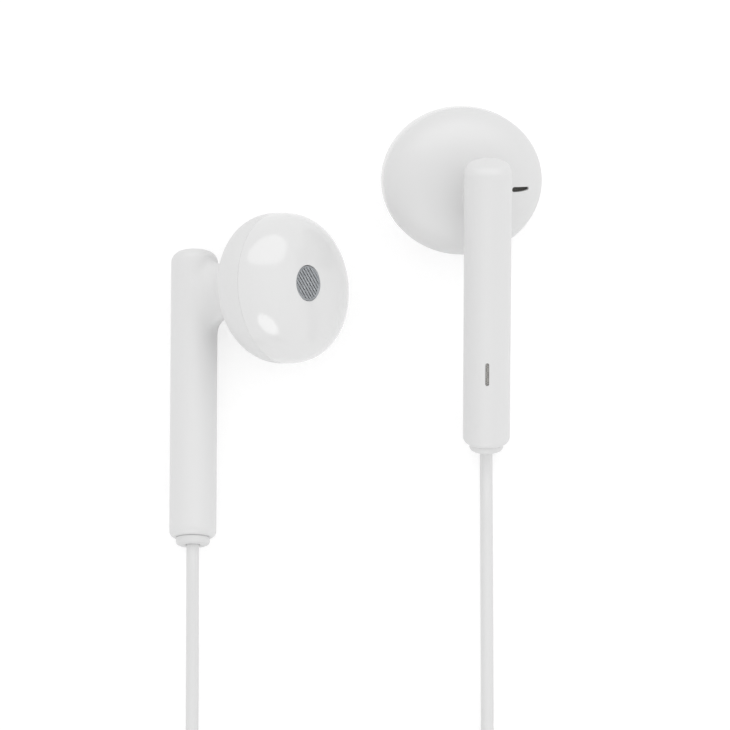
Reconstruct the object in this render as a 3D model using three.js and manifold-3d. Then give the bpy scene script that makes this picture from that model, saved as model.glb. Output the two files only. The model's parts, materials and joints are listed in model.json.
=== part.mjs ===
// Wired half-in-ear earphones, as they lie on a table: millimetres, +Z up.
// The two earpieces lie side by side, the right one on its stem and the edge of its head, the left one
// face down. Their cords run down the table (-Y), and the rest of the cord is put away in four tied coils
// with the in-line remote, the Y splitter and the 3.5 mm plug.
// The origin is on the table, under the middle of the box round the two earpieces.
import * as THREE from 'three';
import { mergeVertices } from 'three/addons/utils/BufferGeometryUtils.js';
import Module from 'manifold-3d';

const wasm = await Module();
wasm.setup();

// ---------------------------------------------------------------- driving dimensions, mm and degrees

// head: two moulded shells that meet at an elliptical seam
const headHalfLength = 9.0; // across the stem
const headHalfWidth = 8.25; // along the stem
const frontDepth = 5.6; // seam to the top of the front dome
const rearDepth = 5.55; // seam to the back of the bowl
const frontFullness = 2.6; // exponent of the dome's section: 2 is an ellipse, more is fuller
const rearFullness = 2.4;
const shellWall = 0.8;
const seamGap = 0.12;
const lipDepth = 0.7; // the front shell's lip, which snaps into the bowl
const lipWall = 0.5;
const lipClearance = 0.25;
const headPitch = 5.8; // the face looks slightly down the stem
const headRoll = -7.4; // the long axis of the seam, turned about the sound axis

// stem: a closed tube, moulded with the bowl
const stemRadius = 2.6;
const stemLength = 32.55;
const stemBore = 1.75;
const stemTopFillet = 1.3;
const stemEndFillet = 0.7;
const stemCap = 1.1; // thickness of the closed top
const headBelowTop = 5.67; // seam centre below the stem's top
const headAhead = 11.58; // seam centre ahead of the stem's axis
const headAside = 0.23;

// neck: the short web between the stem and the bowl
const neckTop = 1.7; // below the stem's top
const neckBottom = 8.25;
const neckAtStem = 1.95; // half the web's thickness, where it leaves the stem
const neckAtBowl = 1.15; // and where it meets the bowl
const neckFillet = 1.9; // concave, under the neck
const neckBore = 0.8; // the wires' way from the stem into the bowl

// sound outlet: a perforated grille in a stepped hole of the front dome
const grilleRadius = 1.95;
const grilleThickness = 0.25;
const grilleAside = -3.0; // from the head's axis, towards the stem's own side
const grilleAlong = -0.6;
const grilleTilt = 11;
const grilleSink = 0.12; // below the dome
const grilleClearance = 0.08;
const grilleLedge = 0.35;
const grilleHole = 0.34; // across the flats of each square hole
const grillePitch = 0.53;
const clothThickness = 0.15;

// rear vent and stem port: slots with a mesh set in them
const ventLength = 2.2;
const ventWidth = 0.55;
const ventAside = 5.4; // on the bowl, from the head's axis
const ventAlong = 0.3;
const portLength = 2.6;
const portWidth = 0.5;
const portAboveEnd = 8.85;
const portTurn = 14.6; // from straight behind, about the stem
const meshSink = 0.22; // the meshes fill their slots, this far under the outside
const meshThickness = 0.12;
const meshClearance = 0.05; // round each mesh

// grommet: the soft ring that the cord leaves the stem through
const grommetRadius = 1.88;
const grommetHeight = 0.85;
const grommetSpigot = 3.0;
const grommetClearance = 0.08;

// driver: a 13 mm moving-coil capsule on a seat in the front shell
const driverRadius = 6.5;
const seatHeight = 0.65; // above the seam
const seatThickness = 1.0;
const seatHole = 5.8;
const filmThickness = 0.15;
const domeHeight = 0.65;
const yokeRadius = 3.7;
const yokeWall = 0.3;
const yokeFloor = 0.6;
const yokeHeight = 2.3;
const magnetRadius = 2.8;
const magnetHeight = 1.15;
const topPlateHeight = 0.5;
const coilRadius = 3.17;
const coilWall = 0.2;
const coilHeight = 1.2;
const boardLength = 4.4;
const boardWidth = 2.4;
const boardThickness = 0.35;
const fit = 0.06; // between pieces that are pressed or glued together

// cords
const branchDiameter = 1.4;
const mainDiameter = 2.0;
const cordGap = 0.3; // between a cord and what it meets
const branchCoilRadius = 7.7; // to the middle of the turns
const mainCoilRadius = 11.0;
const turnGap = 0.45; // between neighbouring turns
const tieWidth = 2.2;
const tieThickness = 0.5;
const tieClearance = 0.3;

// in-line remote
const remoteLength = 34;
const remoteWidth = 8.2;
const remoteHeight = 5.0;
const remoteWall = 0.8;
const remoteEdge = 1.2; // rounding of the long edges
const buttonPitch = 9.4;
const roundButton = 2.4;
const longButtonLength = 5.8;
const longButtonWidth = 4.6;
const buttonProud = 0.35;
const buttonClearance = 0.12;
const buttonTravel = 0.3;
const flangeMargin = 0.45;
const flangeThickness = 0.5;
const remoteBoardThickness = 0.6;
const remoteBoardHeight = 1.3; // its underside above the table
const switchHeight = 0.25;
const microphoneRadius = 1.05;
const microphoneHeight = 0.9;
const microphonePort = 0.4;
const remoteRelief = 5.0;
const remoteReliefRadius = 1.5;

// Y splitter
const splitterLength = 12;
const splitterHalfWidth = 3.0;
const splitterHalfHeight = 2.0;
const splitterTaper = 0.62;
const branchSpacing = 1.9; // between the two branch cords at the splitter

// 3.5 mm four-pole plug
const plugRadius = 1.75;
const sleeveLength = 5.0;
const ringLength = 2.2;
const insulatorLength = 0.6;
const tipLength = 2.8;
const corePinRadius = 0.5;
const coreRadius = 1.1;
const handleRadius = 3.1;
const handleLength = 15;
const handleBoreDepth = 6;
const plugReliefLength = 10;
const plugReliefRadius = 2.2;

// where things lie on the table
const rightStemTop = new THREE.Vector2(-18.04, 9.09);
const leftStemTop = new THREE.Vector2(14.42, 14.92);
const rightTurn = 57.8; // the right head's roll about its lying stem
const leftTurn = 194.6; // the left head faces down
const leftRise = 32.3; // and its stem rises this much
const upperCoilCentreY = -57.2;
const leftCoilCentre = new THREE.Vector2(11.2, -59.8);
const remoteCentreY = -92.2;
const lowerCoilCentreY = -126.2;
const splitterCentre = new THREE.Vector2(0, -76.8);
const mainCoilCentre = new THREE.Vector2(4.9, -95.7);
const plugStartY = -112.4;

// ---------------------------------------------------------------- materials

function material(color, roughness, metalness = 0) {
  return new THREE.MeshStandardMaterial({ color, roughness, metalness });
}

const glossWhite = material('#e6e6e6', 0.22);
const satinWhite = material('#e0e0e0', 0.5);
const cordWhite = material('#e4e4e4', 0.45);
const steelMesh = material('#979fa2', 0.4, 0.8);
const darkMesh = material('#42413d', 0.8);
const greyMesh = material('#8f8d89', 0.7);
const clothBlack = material('#2b2b2d', 0.95);
const filmClear = material('#c9c4b4', 0.4);
const copper = material('#b06a3c', 0.35, 0.9);
const steel = material('#b4b6b8', 0.35, 0.95);
const nickelMagnet = material('#9a9a98', 0.3, 0.9);
const basketGrey = material('#55575a', 0.5);
const boardGreen = material('#2f5d45', 0.6);
const plated = material('#d9bf86', 0.25, 0.95);
const insulatorWhite = material('#dcdcdc', 0.5);
const tieWhite = material('#d8d8d6', 0.7);

// ---------------------------------------------------------------- helpers

const roundSides = 28; // outsides of the head
const innerSides = 16;
const smallSides = 16;
const hiddenSides = 12; // the driver and the soft reliefs
const radians = THREE.MathUtils.degToRad;
const mm = (x, y, z) => new THREE.Vector3(x, y, z);

function welded(geometry) {
  // One closed skin: shared vertices, no empty triangles, faces outwards.
  const bare = new THREE.BufferGeometry();
  bare.setAttribute('position', geometry.getAttribute('position'));
  if (geometry.index) bare.setIndex(geometry.index);
  const merged = mergeVertices(bare, 1e-4);
  const index = merged.index.array;
  const at = merged.getAttribute('position');
  const kept = [];
  let volume = 0;
  const [a, b, c] = [mm(), mm(), mm()];
  for (let i = 0; i < index.length; i += 3) {
    const [p, q, r] = index.slice(i, i + 3);
    if (p === q || q === r || r === p) continue;
    kept.push(p, q, r);
    volume += a.fromBufferAttribute(at, p).dot(b.fromBufferAttribute(at, q).cross(c.fromBufferAttribute(at, r)));
  }
  merged.setIndex(volume < 0 ? kept.reverse() : kept);
  return merged;
}

function toSolid(geometry) {
  const skin = welded(geometry);
  const vertProperties = new Float32Array(skin.getAttribute('position').array);
  const triVerts = new Uint32Array(skin.index.array);
  return new wasm.Manifold(new wasm.Mesh({ numProp: 3, vertProperties, triVerts }));
}

function fromSolid(solid) {
  const { vertProperties, triVerts } = solid.getMesh();
  const geometry = new THREE.BufferGeometry();
  geometry.setAttribute('position', new THREE.BufferAttribute(vertProperties, 3));
  geometry.setIndex(new THREE.BufferAttribute(triVerts, 1));
  return geometry;
}

function piece(name, geometry, look) {
  const skin = welded(geometry);
  skin.computeVertexNormals();
  const mesh = new THREE.Mesh(skin, look);
  mesh.name = name;
  return mesh;
}

function revolved(profile, sides = smallSides) {
  // Turns a profile of [radius, height] pairs about Z. It starts and ends on the axis, or is closed here.
  const points = profile.map(([radius, height]) => new THREE.Vector2(radius, height));
  if (points[0].x > 0) points.push(points[0].clone());
  return new THREE.LatheGeometry(points, sides).rotateX(Math.PI / 2);
}

function disc(radius, low, high, sides = smallSides) {
  return revolved([[0, low], [radius, low], [radius, high], [0, high]], sides);
}

function ring(inner, outer, low, high, sides = smallSides) {
  return revolved([[inner, low], [outer, low], [outer, high], [inner, high]], sides);
}

function extruded(outline, low, high, bevel = 0) {
  const settings = { depth: high - low - 2 * bevel, bevelEnabled: bevel > 0, curveSegments: 8 };
  Object.assign(settings, { bevelSize: bevel, bevelThickness: bevel, bevelOffset: -bevel, bevelSegments: 2 });
  return new THREE.ExtrudeGeometry(outline, settings).translate(0, 0, low + bevel);
}

function roundedBar(length, width, corner = Math.min(length, width) / 2, steps = 4) {
  // A rounded rectangle, long in Y, as a shape without doubled points.
  const [w, l] = [width / 2 - corner, length / 2 - corner];
  const corners = [[w, -l, -90], [w, l, 0], [-w, l, 90], [-w, -l, 180]];
  const points = [];
  for (const [x, y, from] of corners) {
    for (let i = 0; i <= steps; i++) {
      const angle = radians(from + (90 * i) / steps);
      const point = new THREE.Vector2(x + corner * Math.cos(angle), y + corner * Math.sin(angle));
      if (!points.some((other) => other.distanceTo(point) < 1e-3)) points.push(point);
    }
  }
  return new THREE.Shape(points);
}

function loft(sections) {
  // Joins rings of equally many points, and closes both ends with a fan.
  const count = sections[0].length;
  const positions = [];
  const index = [];
  for (const section of sections) for (const p of section) positions.push(p.x, p.y, p.z);
  for (const [s, section] of [[0, sections[0]], [sections.length - 1, sections.at(-1)]]) {
    const middle = section.reduce((sum, p) => sum.add(p), mm(0, 0, 0)).divideScalar(count);
    const hub = positions.length / 3;
    positions.push(middle.x, middle.y, middle.z);
    for (let i = 0; i < count; i++) {
      const [here, next] = [s * count + i, s * count + ((i + 1) % count)];
      index.push(hub, ...(s === 0 ? [next, here] : [here, next]));
    }
  }
  for (let s = 0; s + 1 < sections.length; s++) {
    for (let i = 0; i < count; i++) {
      const [a, b] = [s * count + i, s * count + ((i + 1) % count)];
      index.push(a, b, b + count, a, b + count, a + count);
    }
  }
  const geometry = new THREE.BufferGeometry();
  geometry.setAttribute('position', new THREE.Float32BufferAttribute(positions, 3));
  geometry.setIndex(index);
  return geometry;
}

function superellipse(halfX, halfY, count = 20, fullness = 2.5) {
  return Array.from({ length: count }, (_, i) => {
    const angle = (2 * Math.PI * i) / count;
    const [c, s] = [Math.cos(angle), Math.sin(angle)];
    const reach = (v) => Math.sign(v) * Math.abs(v) ** (2 / fullness);
    return new THREE.Vector2(halfX * reach(c), halfY * reach(s));
  });
}

// ---------------------------------------------------------------- head shells

function domeProfile(radius, depth, fullness, steps) {
  // From the seam to the axis.
  return Array.from({ length: steps + 1 }, (_, i) => {
    const angle = (i / steps) * (Math.PI / 2);
    const reach = Math.cos(angle) ** (2 / fullness);
    const rise = Math.sin(angle) ** (2 / fullness);
    return [i === steps ? 0 : radius * reach, depth * rise];
  });
}

function domeHeightAt(aside, along, depth, fullness) {
  const out = Math.hypot(aside / headHalfLength, along / headHalfWidth);
  return depth * (1 - out ** fullness) ** (1 / fullness);
}

const oval = (geometry) => geometry.scale(1, headHalfWidth / headHalfLength, 1);
const lipOuter = headHalfLength - shellWall - lipClearance;
const lipInner = lipOuter - lipWall;

function frontShell(outlet) {
  // The dome and its lip, hollowed above and below the seat that the driver sits under.
  const rim = seamGap / 2;
  const dome = domeProfile(headHalfLength, frontDepth - rim, frontFullness, 6).map(([r, h]) => [r, h + rim]);
  const ceiling = domeProfile(lipInner, frontDepth - shellWall, frontFullness, 5);
  const seatTop = seatHeight + seatThickness;
  const above = ceiling.filter(([, height]) => height > seatTop + 0.2);
  const upperRoom = oval(revolved([[0, seatTop], [lipInner * 0.985, seatTop], ...above], innerSides));
  const lowerRoom = oval(disc(lipInner, -headHalfLength, seatHeight, innerSides));
  const lip = oval(disc(lipOuter, -lipDepth, seatTop, innerSides));
  const recess = disc(grilleRadius + grilleClearance, -grilleSink - grilleThickness - grilleClearance, 3);
  const hole = disc(grilleRadius - grilleLedge, -3, 3);
  for (const cut of [recess, hole]) cut.applyMatrix4(outlet);
  const shell = toSolid(oval(revolved([[0, rim], ...dome], roundSides))).add(toSolid(lip));
  const rooms = [upperRoom, lowerRoom, disc(seatHole, 0, seatTop + 0.3), recess, hole];
  return fromSolid(rooms.reduce((solid, room) => solid.subtract(toSolid(room)), shell));
}

function outletGrille() {
  // A stamped disc, with square holes on a diagonal grid.
  const outline = roundedBar(2 * grilleRadius, 2 * grilleRadius, grilleRadius);
  const reach = grilleRadius - grilleLedge - grilleHole / 2;
  const count = Math.ceil(reach / grillePitch);
  const half = grilleHole / Math.SQRT2;
  for (let row = -count; row <= count; row++) {
    for (let column = -count; column <= count; column++) {
      const middle = new THREE.Vector2(row + column, row - column).multiplyScalar(grillePitch / Math.SQRT2);
      if (middle.length() > reach) continue;
      const corners = [[half, 0], [0, -half], [-half, 0], [0, half]];
      outline.holes.push(new THREE.Path(corners.map(([x, y]) => new THREE.Vector2(x, y).add(middle))));
    }
  }
  return extruded(outline, -grilleSink - grilleThickness, -grilleSink);
}

function stemOutside() {
  const { PI, cos, sin } = Math;
  const corner = (radius, centreHeight, from, steps = 2) =>
    Array.from({ length: steps + 1 }, (_, i) => {
      const angle = from + (i / steps) * (PI / 2);
      return [stemRadius - radius + radius * cos(angle), centreHeight + radius * sin(angle)];
    });
  return revolved([
    [0, -stemLength],
    ...corner(stemEndFillet, -stemLength + stemEndFillet, -PI / 2),
    ...corner(stemTopFillet, -stemTopFillet, 0, 3),
    [0, 0],
  ], 20).rotateX(-PI / 2);
}

function neckOutside() {
  // From inside the stem to inside the bowl, with a concave fillet under it where it leaves the stem.
  const reach = headAhead - rearDepth + 2;
  const stations = [0.9, stemRadius, stemRadius + 0.35 * neckFillet, stemRadius + neckFillet, reach];
  return loft(
    stations.map((ahead) => {
      const inFillet = THREE.MathUtils.clamp((stemRadius + neckFillet - ahead) / neckFillet, 0, 1);
      const drop = neckFillet * (1 - Math.sqrt(1 - inFillet ** 2));
      const halfHeight = (neckBottom + drop - neckTop) / 2;
      const middle = -neckTop - halfHeight;
      const towardsBowl = THREE.MathUtils.clamp((ahead - stemRadius) / (headAhead - rearDepth - stemRadius), 0, 1);
      const halfThickness = THREE.MathUtils.lerp(neckAtStem, neckAtBowl, towardsBowl);
      const section = superellipse(halfThickness, halfHeight, 16);
      return section.map((p) => mm(p.x, middle + p.y, ahead));
    }),
  );
}

function rearHousing(head, vent, port) {
  // Bowl, neck and stem are one moulding. It is hollowed out, and its two ports are cut through the wall.
  const rim = seamGap / 2;
  const bowl = domeProfile(headHalfLength, rim - rearDepth, rearFullness, 6).map(([r, h]) => [r, h - rim]);
  const floor = domeProfile(headHalfLength - shellWall, shellWall - rearDepth, rearFullness, 5);
  const room = oval(revolved([[0, 2], [headHalfLength - shellWall, 2], ...floor], innerSides)).applyMatrix4(head);
  const bore = disc(stemBore, -stemLength - 1, -stemCap, 16).rotateX(-Math.PI / 2);
  const wireWay = disc(neckBore, 0, headAhead, 12).translate(0, -(neckTop + neckBottom) / 2, 0);
  const ventCut = extruded(roundedBar(ventWidth, ventLength), -2 * shellWall, 1).applyMatrix4(vent);
  const portCut = extruded(roundedBar(portLength, portWidth), 1.4 * (stemBore - stemRadius), 1);
  const moulding = toSolid(oval(revolved([[0, -rim], ...bowl], roundSides)).applyMatrix4(head))
    .add(toSolid(neckOutside()))
    .add(toSolid(stemOutside()));
  const cuts = [room, bore, wireWay, ventCut, portCut.applyMatrix4(port)];
  return fromSolid(cuts.reduce((solid, cut) => solid.subtract(toSolid(cut)), moulding));
}

// ---------------------------------------------------------------- driver, on the head's axis

const frontOfBasket = seatHeight - filmThickness - 2 * fit;
const yokeTop = frontOfBasket - 0.7;
const yokeBottom = yokeTop - yokeHeight;
const magnetBottom = yokeBottom + yokeFloor + fit;
const plateBottom = magnetBottom + magnetHeight + fit;

function basket() {
  const hubInner = yokeRadius + fit;
  const hubOuter = hubInner + 0.6;
  const rimInner = driverRadius - 0.8;
  return revolved([
    [rimInner, frontOfBasket],
    [rimInner, frontOfBasket - 0.6],
    [hubOuter, yokeTop - 0.5],
    [hubInner, yokeTop - 0.5],
    [hubInner, yokeBottom + 0.2],
    [hubOuter, yokeBottom + 0.2],
    [driverRadius, frontOfBasket - 1.1],
    [driverRadius, frontOfBasket],
  ], hiddenSides);
}

function diaphragm() {
  // Edge, half-roll surround and centre dome, in one pressed film.
  const rise = (radius) => {
    const [edge, inner] = [driverRadius - 0.8, coilRadius + 0.5];
    if (radius >= edge) return 0;
    if (radius > inner) return domeHeight * Math.sin((Math.PI * (edge - radius)) / (edge - inner));
    if (radius > coilRadius) return 0;
    return domeHeight * (1 - (radius / coilRadius) ** 2);
  };
  const middle = (driverRadius - 0.8 + coilRadius + 0.5) / 2;
  const stops = [driverRadius - fit, driverRadius - 0.8, middle, coilRadius + 0.5, coilRadius, 0];
  const base = frontOfBasket + fit;
  const top = stops.map((radius) => [radius, base + filmThickness + rise(radius)]);
  const under = stops.map((radius) => [radius, base + rise(radius)]).reverse();
  const points = [...top, ...under].map(([r, h]) => new THREE.Vector2(r, h));
  points.push(points[0].clone());
  return new THREE.LatheGeometry(points, hiddenSides).rotateX(Math.PI / 2);
}

function yoke() {
  const inner = yokeRadius - yokeWall;
  const floor = yokeBottom + yokeFloor;
  const cup = [[0, yokeBottom], [yokeRadius, yokeBottom], [yokeRadius, yokeTop], [inner, yokeTop]];
  return revolved([...cup, [inner, floor], [0, floor]], hiddenSides);
}

function grommet() {
  // Ring outside the stem, spigot inside its bore, and the cord's hole through both. Z runs out of the stem.
  const bore = branchDiameter / 2 + grommetClearance;
  const spigot = stemBore - grommetClearance;
  const rounding = 0.35;
  return revolved([
    [bore, -grommetSpigot],
    [spigot, -grommetSpigot],
    [spigot, fit],
    [grommetRadius, fit],
    [grommetRadius, grommetHeight - rounding],
    [grommetRadius - 0.3 * rounding, grommetHeight - 0.3 * rounding],
    [grommetRadius - rounding, grommetHeight],
    [bore, grommetHeight],
  ], 16);
}

// ---------------------------------------------------------------- one earpiece

function surfaceFrame(point, normal, along) {
  // Z along the normal, Y as near as can be to `along`.
  const z = normal.clone().normalize();
  const x = along.clone().cross(z).normalize();
  return new THREE.Matrix4().makeBasis(x, z.clone().cross(x), z).setPosition(point);
}

function earpiece(prefix, side) {
  // Origin at the stem's top, +Y up the stem, +Z towards the face. side is 1 for the right ear, -1 for the left.
  const name = (part) => `${prefix}_${part}`;
  const ear = new THREE.Group();
  const head = new THREE.Group();
  head.position.set(side * headAside, -headBelowTop, headAhead);
  head.rotation.set(radians(headPitch), 0, radians(side * headRoll));
  head.updateMatrix();
  ear.add(head);

  const outlet = new THREE.Group();
  const outletX = side * grilleAside;
  outlet.position.set(outletX, grilleAlong, domeHeightAt(outletX, grilleAlong, frontDepth, frontFullness));
  outlet.rotation.set(0, radians(-side * grilleTilt), 0);
  outlet.updateMatrix();
  head.add(outlet);
  head.add(piece(name('front_shell'), frontShell(outlet.matrix), glossWhite));
  outlet.add(piece(name('outlet_grille'), outletGrille(), steelMesh));
  const clothTop = -grilleSink - grilleThickness - 2 * grilleClearance;
  const cloth = disc(grilleRadius - grilleLedge - grilleClearance, clothTop - clothThickness, clothTop, 16);
  outlet.add(piece(name('damper_cloth'), cloth, clothBlack));

  const plate = disc(magnetRadius + fit, plateBottom, plateBottom + topPlateHeight, hiddenSides);
  const slug = disc(magnetRadius, magnetBottom, magnetBottom + magnetHeight, hiddenSides);
  const coilTop = frontOfBasket;
  const wire = ring(coilRadius - coilWall / 2, coilRadius + coilWall / 2, coilTop - coilHeight, coilTop, hiddenSides);
  const board = extruded(roundedBar(boardWidth, boardLength, 0.5), yokeBottom - fit - boardThickness, yokeBottom - fit);
  head.add(piece(name('driver_basket'), basket(), basketGrey));
  head.add(piece(name('diaphragm'), diaphragm(), filmClear));
  head.add(piece(name('voice_coil'), wire, copper));
  head.add(piece(name('top_plate'), plate, steel));
  head.add(piece(name('magnet'), slug, nickelMagnet));
  head.add(piece(name('yoke'), yoke(), steel));
  head.add(piece(name('terminal_board'), board, boardGreen));

  // the rear vent lies on the bowl, long across the stem
  const ventX = side * ventAside;
  const ventZ = -domeHeightAt(ventX, ventAlong, rearDepth, rearFullness);
  const slope = ventZ / rearDepth ** 2;
  const ventNormal = mm(ventX / headHalfLength ** 2, ventAlong / headHalfWidth ** 2, slope);
  const vent = surfaceFrame(mm(ventX, ventAlong, ventZ), ventNormal, mm(0, 1, 0));
  const ventInEar = head.matrix.clone().multiply(vent);
  const slotMesh = (length, width) =>
    extruded(roundedBar(length - 2 * meshClearance, width - 2 * meshClearance), -meshSink - meshThickness, -meshSink);
  const ventMesh = slotMesh(ventWidth, ventLength);
  head.add(piece(name('vent_mesh'), ventMesh.applyMatrix4(vent), darkMesh));

  // the stem port is a slot along the back of the stem
  const portAngle = radians(portTurn);
  const outward = mm(-side * Math.sin(portAngle), 0, -Math.cos(portAngle));
  const portPoint = outward.clone().multiplyScalar(stemRadius).setY(portAboveEnd - stemLength);
  const port = surfaceFrame(portPoint, outward, mm(0, 1, 0));
  const portMesh = slotMesh(portLength, portWidth);
  ear.add(piece(name('port_mesh'), portMesh.applyMatrix4(port), greyMesh));

  ear.add(piece(name('rear_housing'), rearHousing(head.matrix, ventInEar, port), glossWhite));
  const ringPiece = piece(name('grommet'), grommet(), satinWhite);
  ringPiece.position.set(0, -stemLength, 0);
  ringPiece.rotation.x = Math.PI / 2;
  ear.add(ringPiece);
  return ear;
}

function layOnTable(group, place) {
  group.position.set(place.x, place.y, 0);
  group.updateMatrixWorld(true);
  group.position.z = -new THREE.Box3().setFromObject(group, true).min.z;
  group.updateMatrixWorld(true);
}

function cordExit(ear) {
  // Where the cord leaves the grommet, and which way.
  const end = ear.localToWorld(mm(0, -stemLength - grommetHeight, 0));
  const along = ear.localToWorld(mm(0, -stemLength - grommetHeight - 1, 0)).sub(end);
  return { end, along };
}

const rightEar = earpiece('right', 1);
rightEar.rotation.set(0, radians(rightTurn), 0);
layOnTable(rightEar, rightStemTop);
const leftEar = earpiece('left', -1);
leftEar.rotation.set(radians(leftRise), radians(leftTurn), 0);
layOnTable(leftEar, leftStemTop);

// ---------------------------------------------------------------- cords and coils

const branchRest = branchDiameter / 2 + 0.05; // a cord's centre above the table
const cordSides = 8;
const coilSides = 6;
const mainSteps = 24; // rings to a turn
const branchSteps = 20;

function cordSection(diameter) {
  const points = Array.from({ length: cordSides }, (_, i) => {
    const angle = (2 * Math.PI * (i + 0.5)) / cordSides;
    return new THREE.Vector2(Math.cos(angle), Math.sin(angle)).multiplyScalar(diameter / 2);
  });
  return new THREE.Shape(points);
}

function freeCord(name, route, diameter) {
  const path = new THREE.CatmullRomCurve3(route, false, 'centripetal');
  const steps = Math.max(3, Math.round(path.getLength() / (2.6 * diameter)));
  const settings = { steps, bevelEnabled: false, extrudePath: path };
  return { length: path.getLength(), mesh: piece(name, new THREE.ExtrudeGeometry(cordSection(diameter), settings), cordWhite) };
}

function coilRoute({ centre, radius, turns, layers, diameter, entryAngle, hand, steps }) {
  // Spirals in, climbs a layer in the half turn where it reverses, spirals out, and so on.
  const pitch = diameter + turnGap;
  const perLayer = turns / layers;
  const outer = radius + (pitch * perLayer) / 2;
  const rest = tieThickness + tieClearance + diameter / 2;
  const at = (turn) => {
    const phase = turn / perLayer;
    const inward = phase % 2 <= 1 ? phase % 2 : 2 - (phase % 2);
    const reach = outer - pitch * perLayer * inward;
    let height = rest;
    for (let layer = 1; layer < layers; layer++) {
      height += pitch * THREE.MathUtils.smoothstep(turn, layer * perLayer - 0.25, layer * perLayer + 0.25);
    }
    const angle = radians(entryAngle) + hand * 2 * Math.PI * turn;
    return mm(centre.x + reach * Math.cos(angle), centre.y + reach * Math.sin(angle), height);
  };
  const count = Math.round(turns * steps);
  const points = Array.from({ length: count + 1 }, (_, i) => at((turns * i) / count));
  const tangent = (turn) => {
    const angle = radians(entryAngle) + hand * (2 * Math.PI * turn + Math.PI / 2);
    return mm(Math.cos(angle), Math.sin(angle), 0);
  };
  const into = tangent(0);
  const out = tangent(turns);
  const start = points[0].clone().addScaledVector(into, -diameter);
  const end = points.at(-1).clone().addScaledVector(out, diameter);
  return { points: [start, ...points, end], start, end, into, out, outer, inner: 2 * radius - outer, rest, pitch };
}

function leastGap(points, { diameter, steps }) {
  // The least distance between two turns' surfaces, over points at least half a turn apart.
  let least = Infinity;
  for (let i = 0; i < points.length; i++) {
    for (let j = i + steps / 2; j < points.length; j++) {
      least = Math.min(least, points[i].distanceTo(points[j]));
    }
  }
  return least - diameter;
}

function coilGeometry(points, diameter) {
  const up = mm(0, 0, 1);
  const sections = points.map((point, i) => {
    const [before, after] = [points[Math.max(i - 1, 0)], points[Math.min(i + 1, points.length - 1)]];
    const along = after.clone().sub(before).normalize();
    const across = along.clone().cross(up).normalize();
    const over = across.clone().cross(along);
    return Array.from({ length: coilSides }, (_, k) => {
      const angle = (2 * Math.PI * k) / coilSides;
      const offset = across.clone().multiplyScalar(Math.cos(angle)).addScaledVector(over, Math.sin(angle));
      return point.clone().addScaledVector(offset, diameter / 2);
    });
  });
  return loft(sections);
}

function coil(name, settings) {
  const route = coilRoute(settings);
  const curve = new THREE.CurvePath();
  route.points.slice(1).forEach((p, i) => curve.add(new THREE.LineCurve3(route.points[i], p)));
  const length = curve.getLength();
  const gap = leastGap(route.points, settings);
  console.log(`${name}: ${settings.turns} turns, ${length.toFixed(0)} mm, least gap to itself ${gap.toFixed(2)} mm`);
  return { ...route, length, mesh: piece(name, coilGeometry(route.points, settings.diameter), cordWhite) };
}

function coilTie(name, route, settings, angle) {
  // A soft strap round the bundle. It lies on the table, and the coil lies in it.
  const halfWidth = (route.outer - route.inner + settings.diameter) / 2 + tieClearance;
  const height = (settings.layers - 1) * route.pitch + settings.diameter + 2 * tieClearance;
  const corner = Math.min(settings.diameter / 2, 0.7);
  const outline = roundedBar(height + 2 * tieThickness, 2 * (halfWidth + tieThickness), corner + tieThickness, 2);
  outline.holes.push(new THREE.Path(roundedBar(height, 2 * halfWidth, corner, 2).getPoints()));
  const strap = new THREE.ExtrudeGeometry(outline, { depth: tieWidth, bevelEnabled: false });
  strap.translate(0, height / 2 + tieThickness, -tieWidth / 2).rotateX(Math.PI / 2);
  strap.translate(settings.radius, 0, 0).rotateZ(radians(angle)).translate(settings.centre.x, settings.centre.y, 0);
  return piece(name, strap, tieWhite);
}

const right = cordExit(rightEar);
const left = cordExit(leftEar);
const cordX = right.end.x;

const upperSettings = {
  radius: branchCoilRadius, turns: 2, layers: 2, diameter: branchDiameter, entryAngle: 180, hand: 1,
  steps: branchSteps,
};
const coilPitch = branchDiameter + turnGap;
const coilReach = (settings) => settings.radius + (coilPitch * settings.turns) / settings.layers / 2;
upperSettings.centre = new THREE.Vector2(cordX + coilReach(upperSettings), upperCoilCentreY);
const upperCoil = coil('right_coil_upper', upperSettings);

const lowerSettings = { ...upperSettings, turns: 2.75 };
lowerSettings.centre = new THREE.Vector2(cordX + coilReach(lowerSettings), lowerCoilCentreY);
const lowerCoil = coil('right_coil_lower', lowerSettings);

const leftSettings = { ...upperSettings, turns: 6.25, entryAngle: 0, hand: -1, centre: leftCoilCentre };
const leftCoil = coil('left_coil', leftSettings);

const mainSettings = {
  radius: mainCoilRadius, turns: 10.125, layers: 4, diameter: mainDiameter, entryAngle: 45, hand: -1,
  steps: mainSteps, centre: mainCoilCentre,
};
const mainCoil = coil('main_coil', mainSettings);

const remoteMiddle = remoteHeight / 2;
const remoteReach = remoteLength / 2 + remoteRelief;
const fromStart = (point, way, distance) => point.clone().addScaledVector(way, distance);

const rightUpper = freeCord('right_cord_upper', [
  fromStart(right.end, right.along, cordGap),
  fromStart(right.end, right.along, 3),
  mm(cordX, -33, 1.5),
  mm(cordX, -40, branchRest),
  mm(cordX, -48, branchRest),
  fromStart(upperCoil.start, upperCoil.into, -3),
  fromStart(upperCoil.start, upperCoil.into, -cordGap),
], branchDiameter);

const rightMiddle = freeCord('right_cord_middle', [
  fromStart(upperCoil.end, upperCoil.out, cordGap),
  fromStart(upperCoil.end, upperCoil.out, 2.5),
  mm(cordX, remoteCentreY + remoteReach + 2.5, remoteMiddle),
  mm(cordX, remoteCentreY + remoteReach + cordGap, remoteMiddle),
], branchDiameter);

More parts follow.
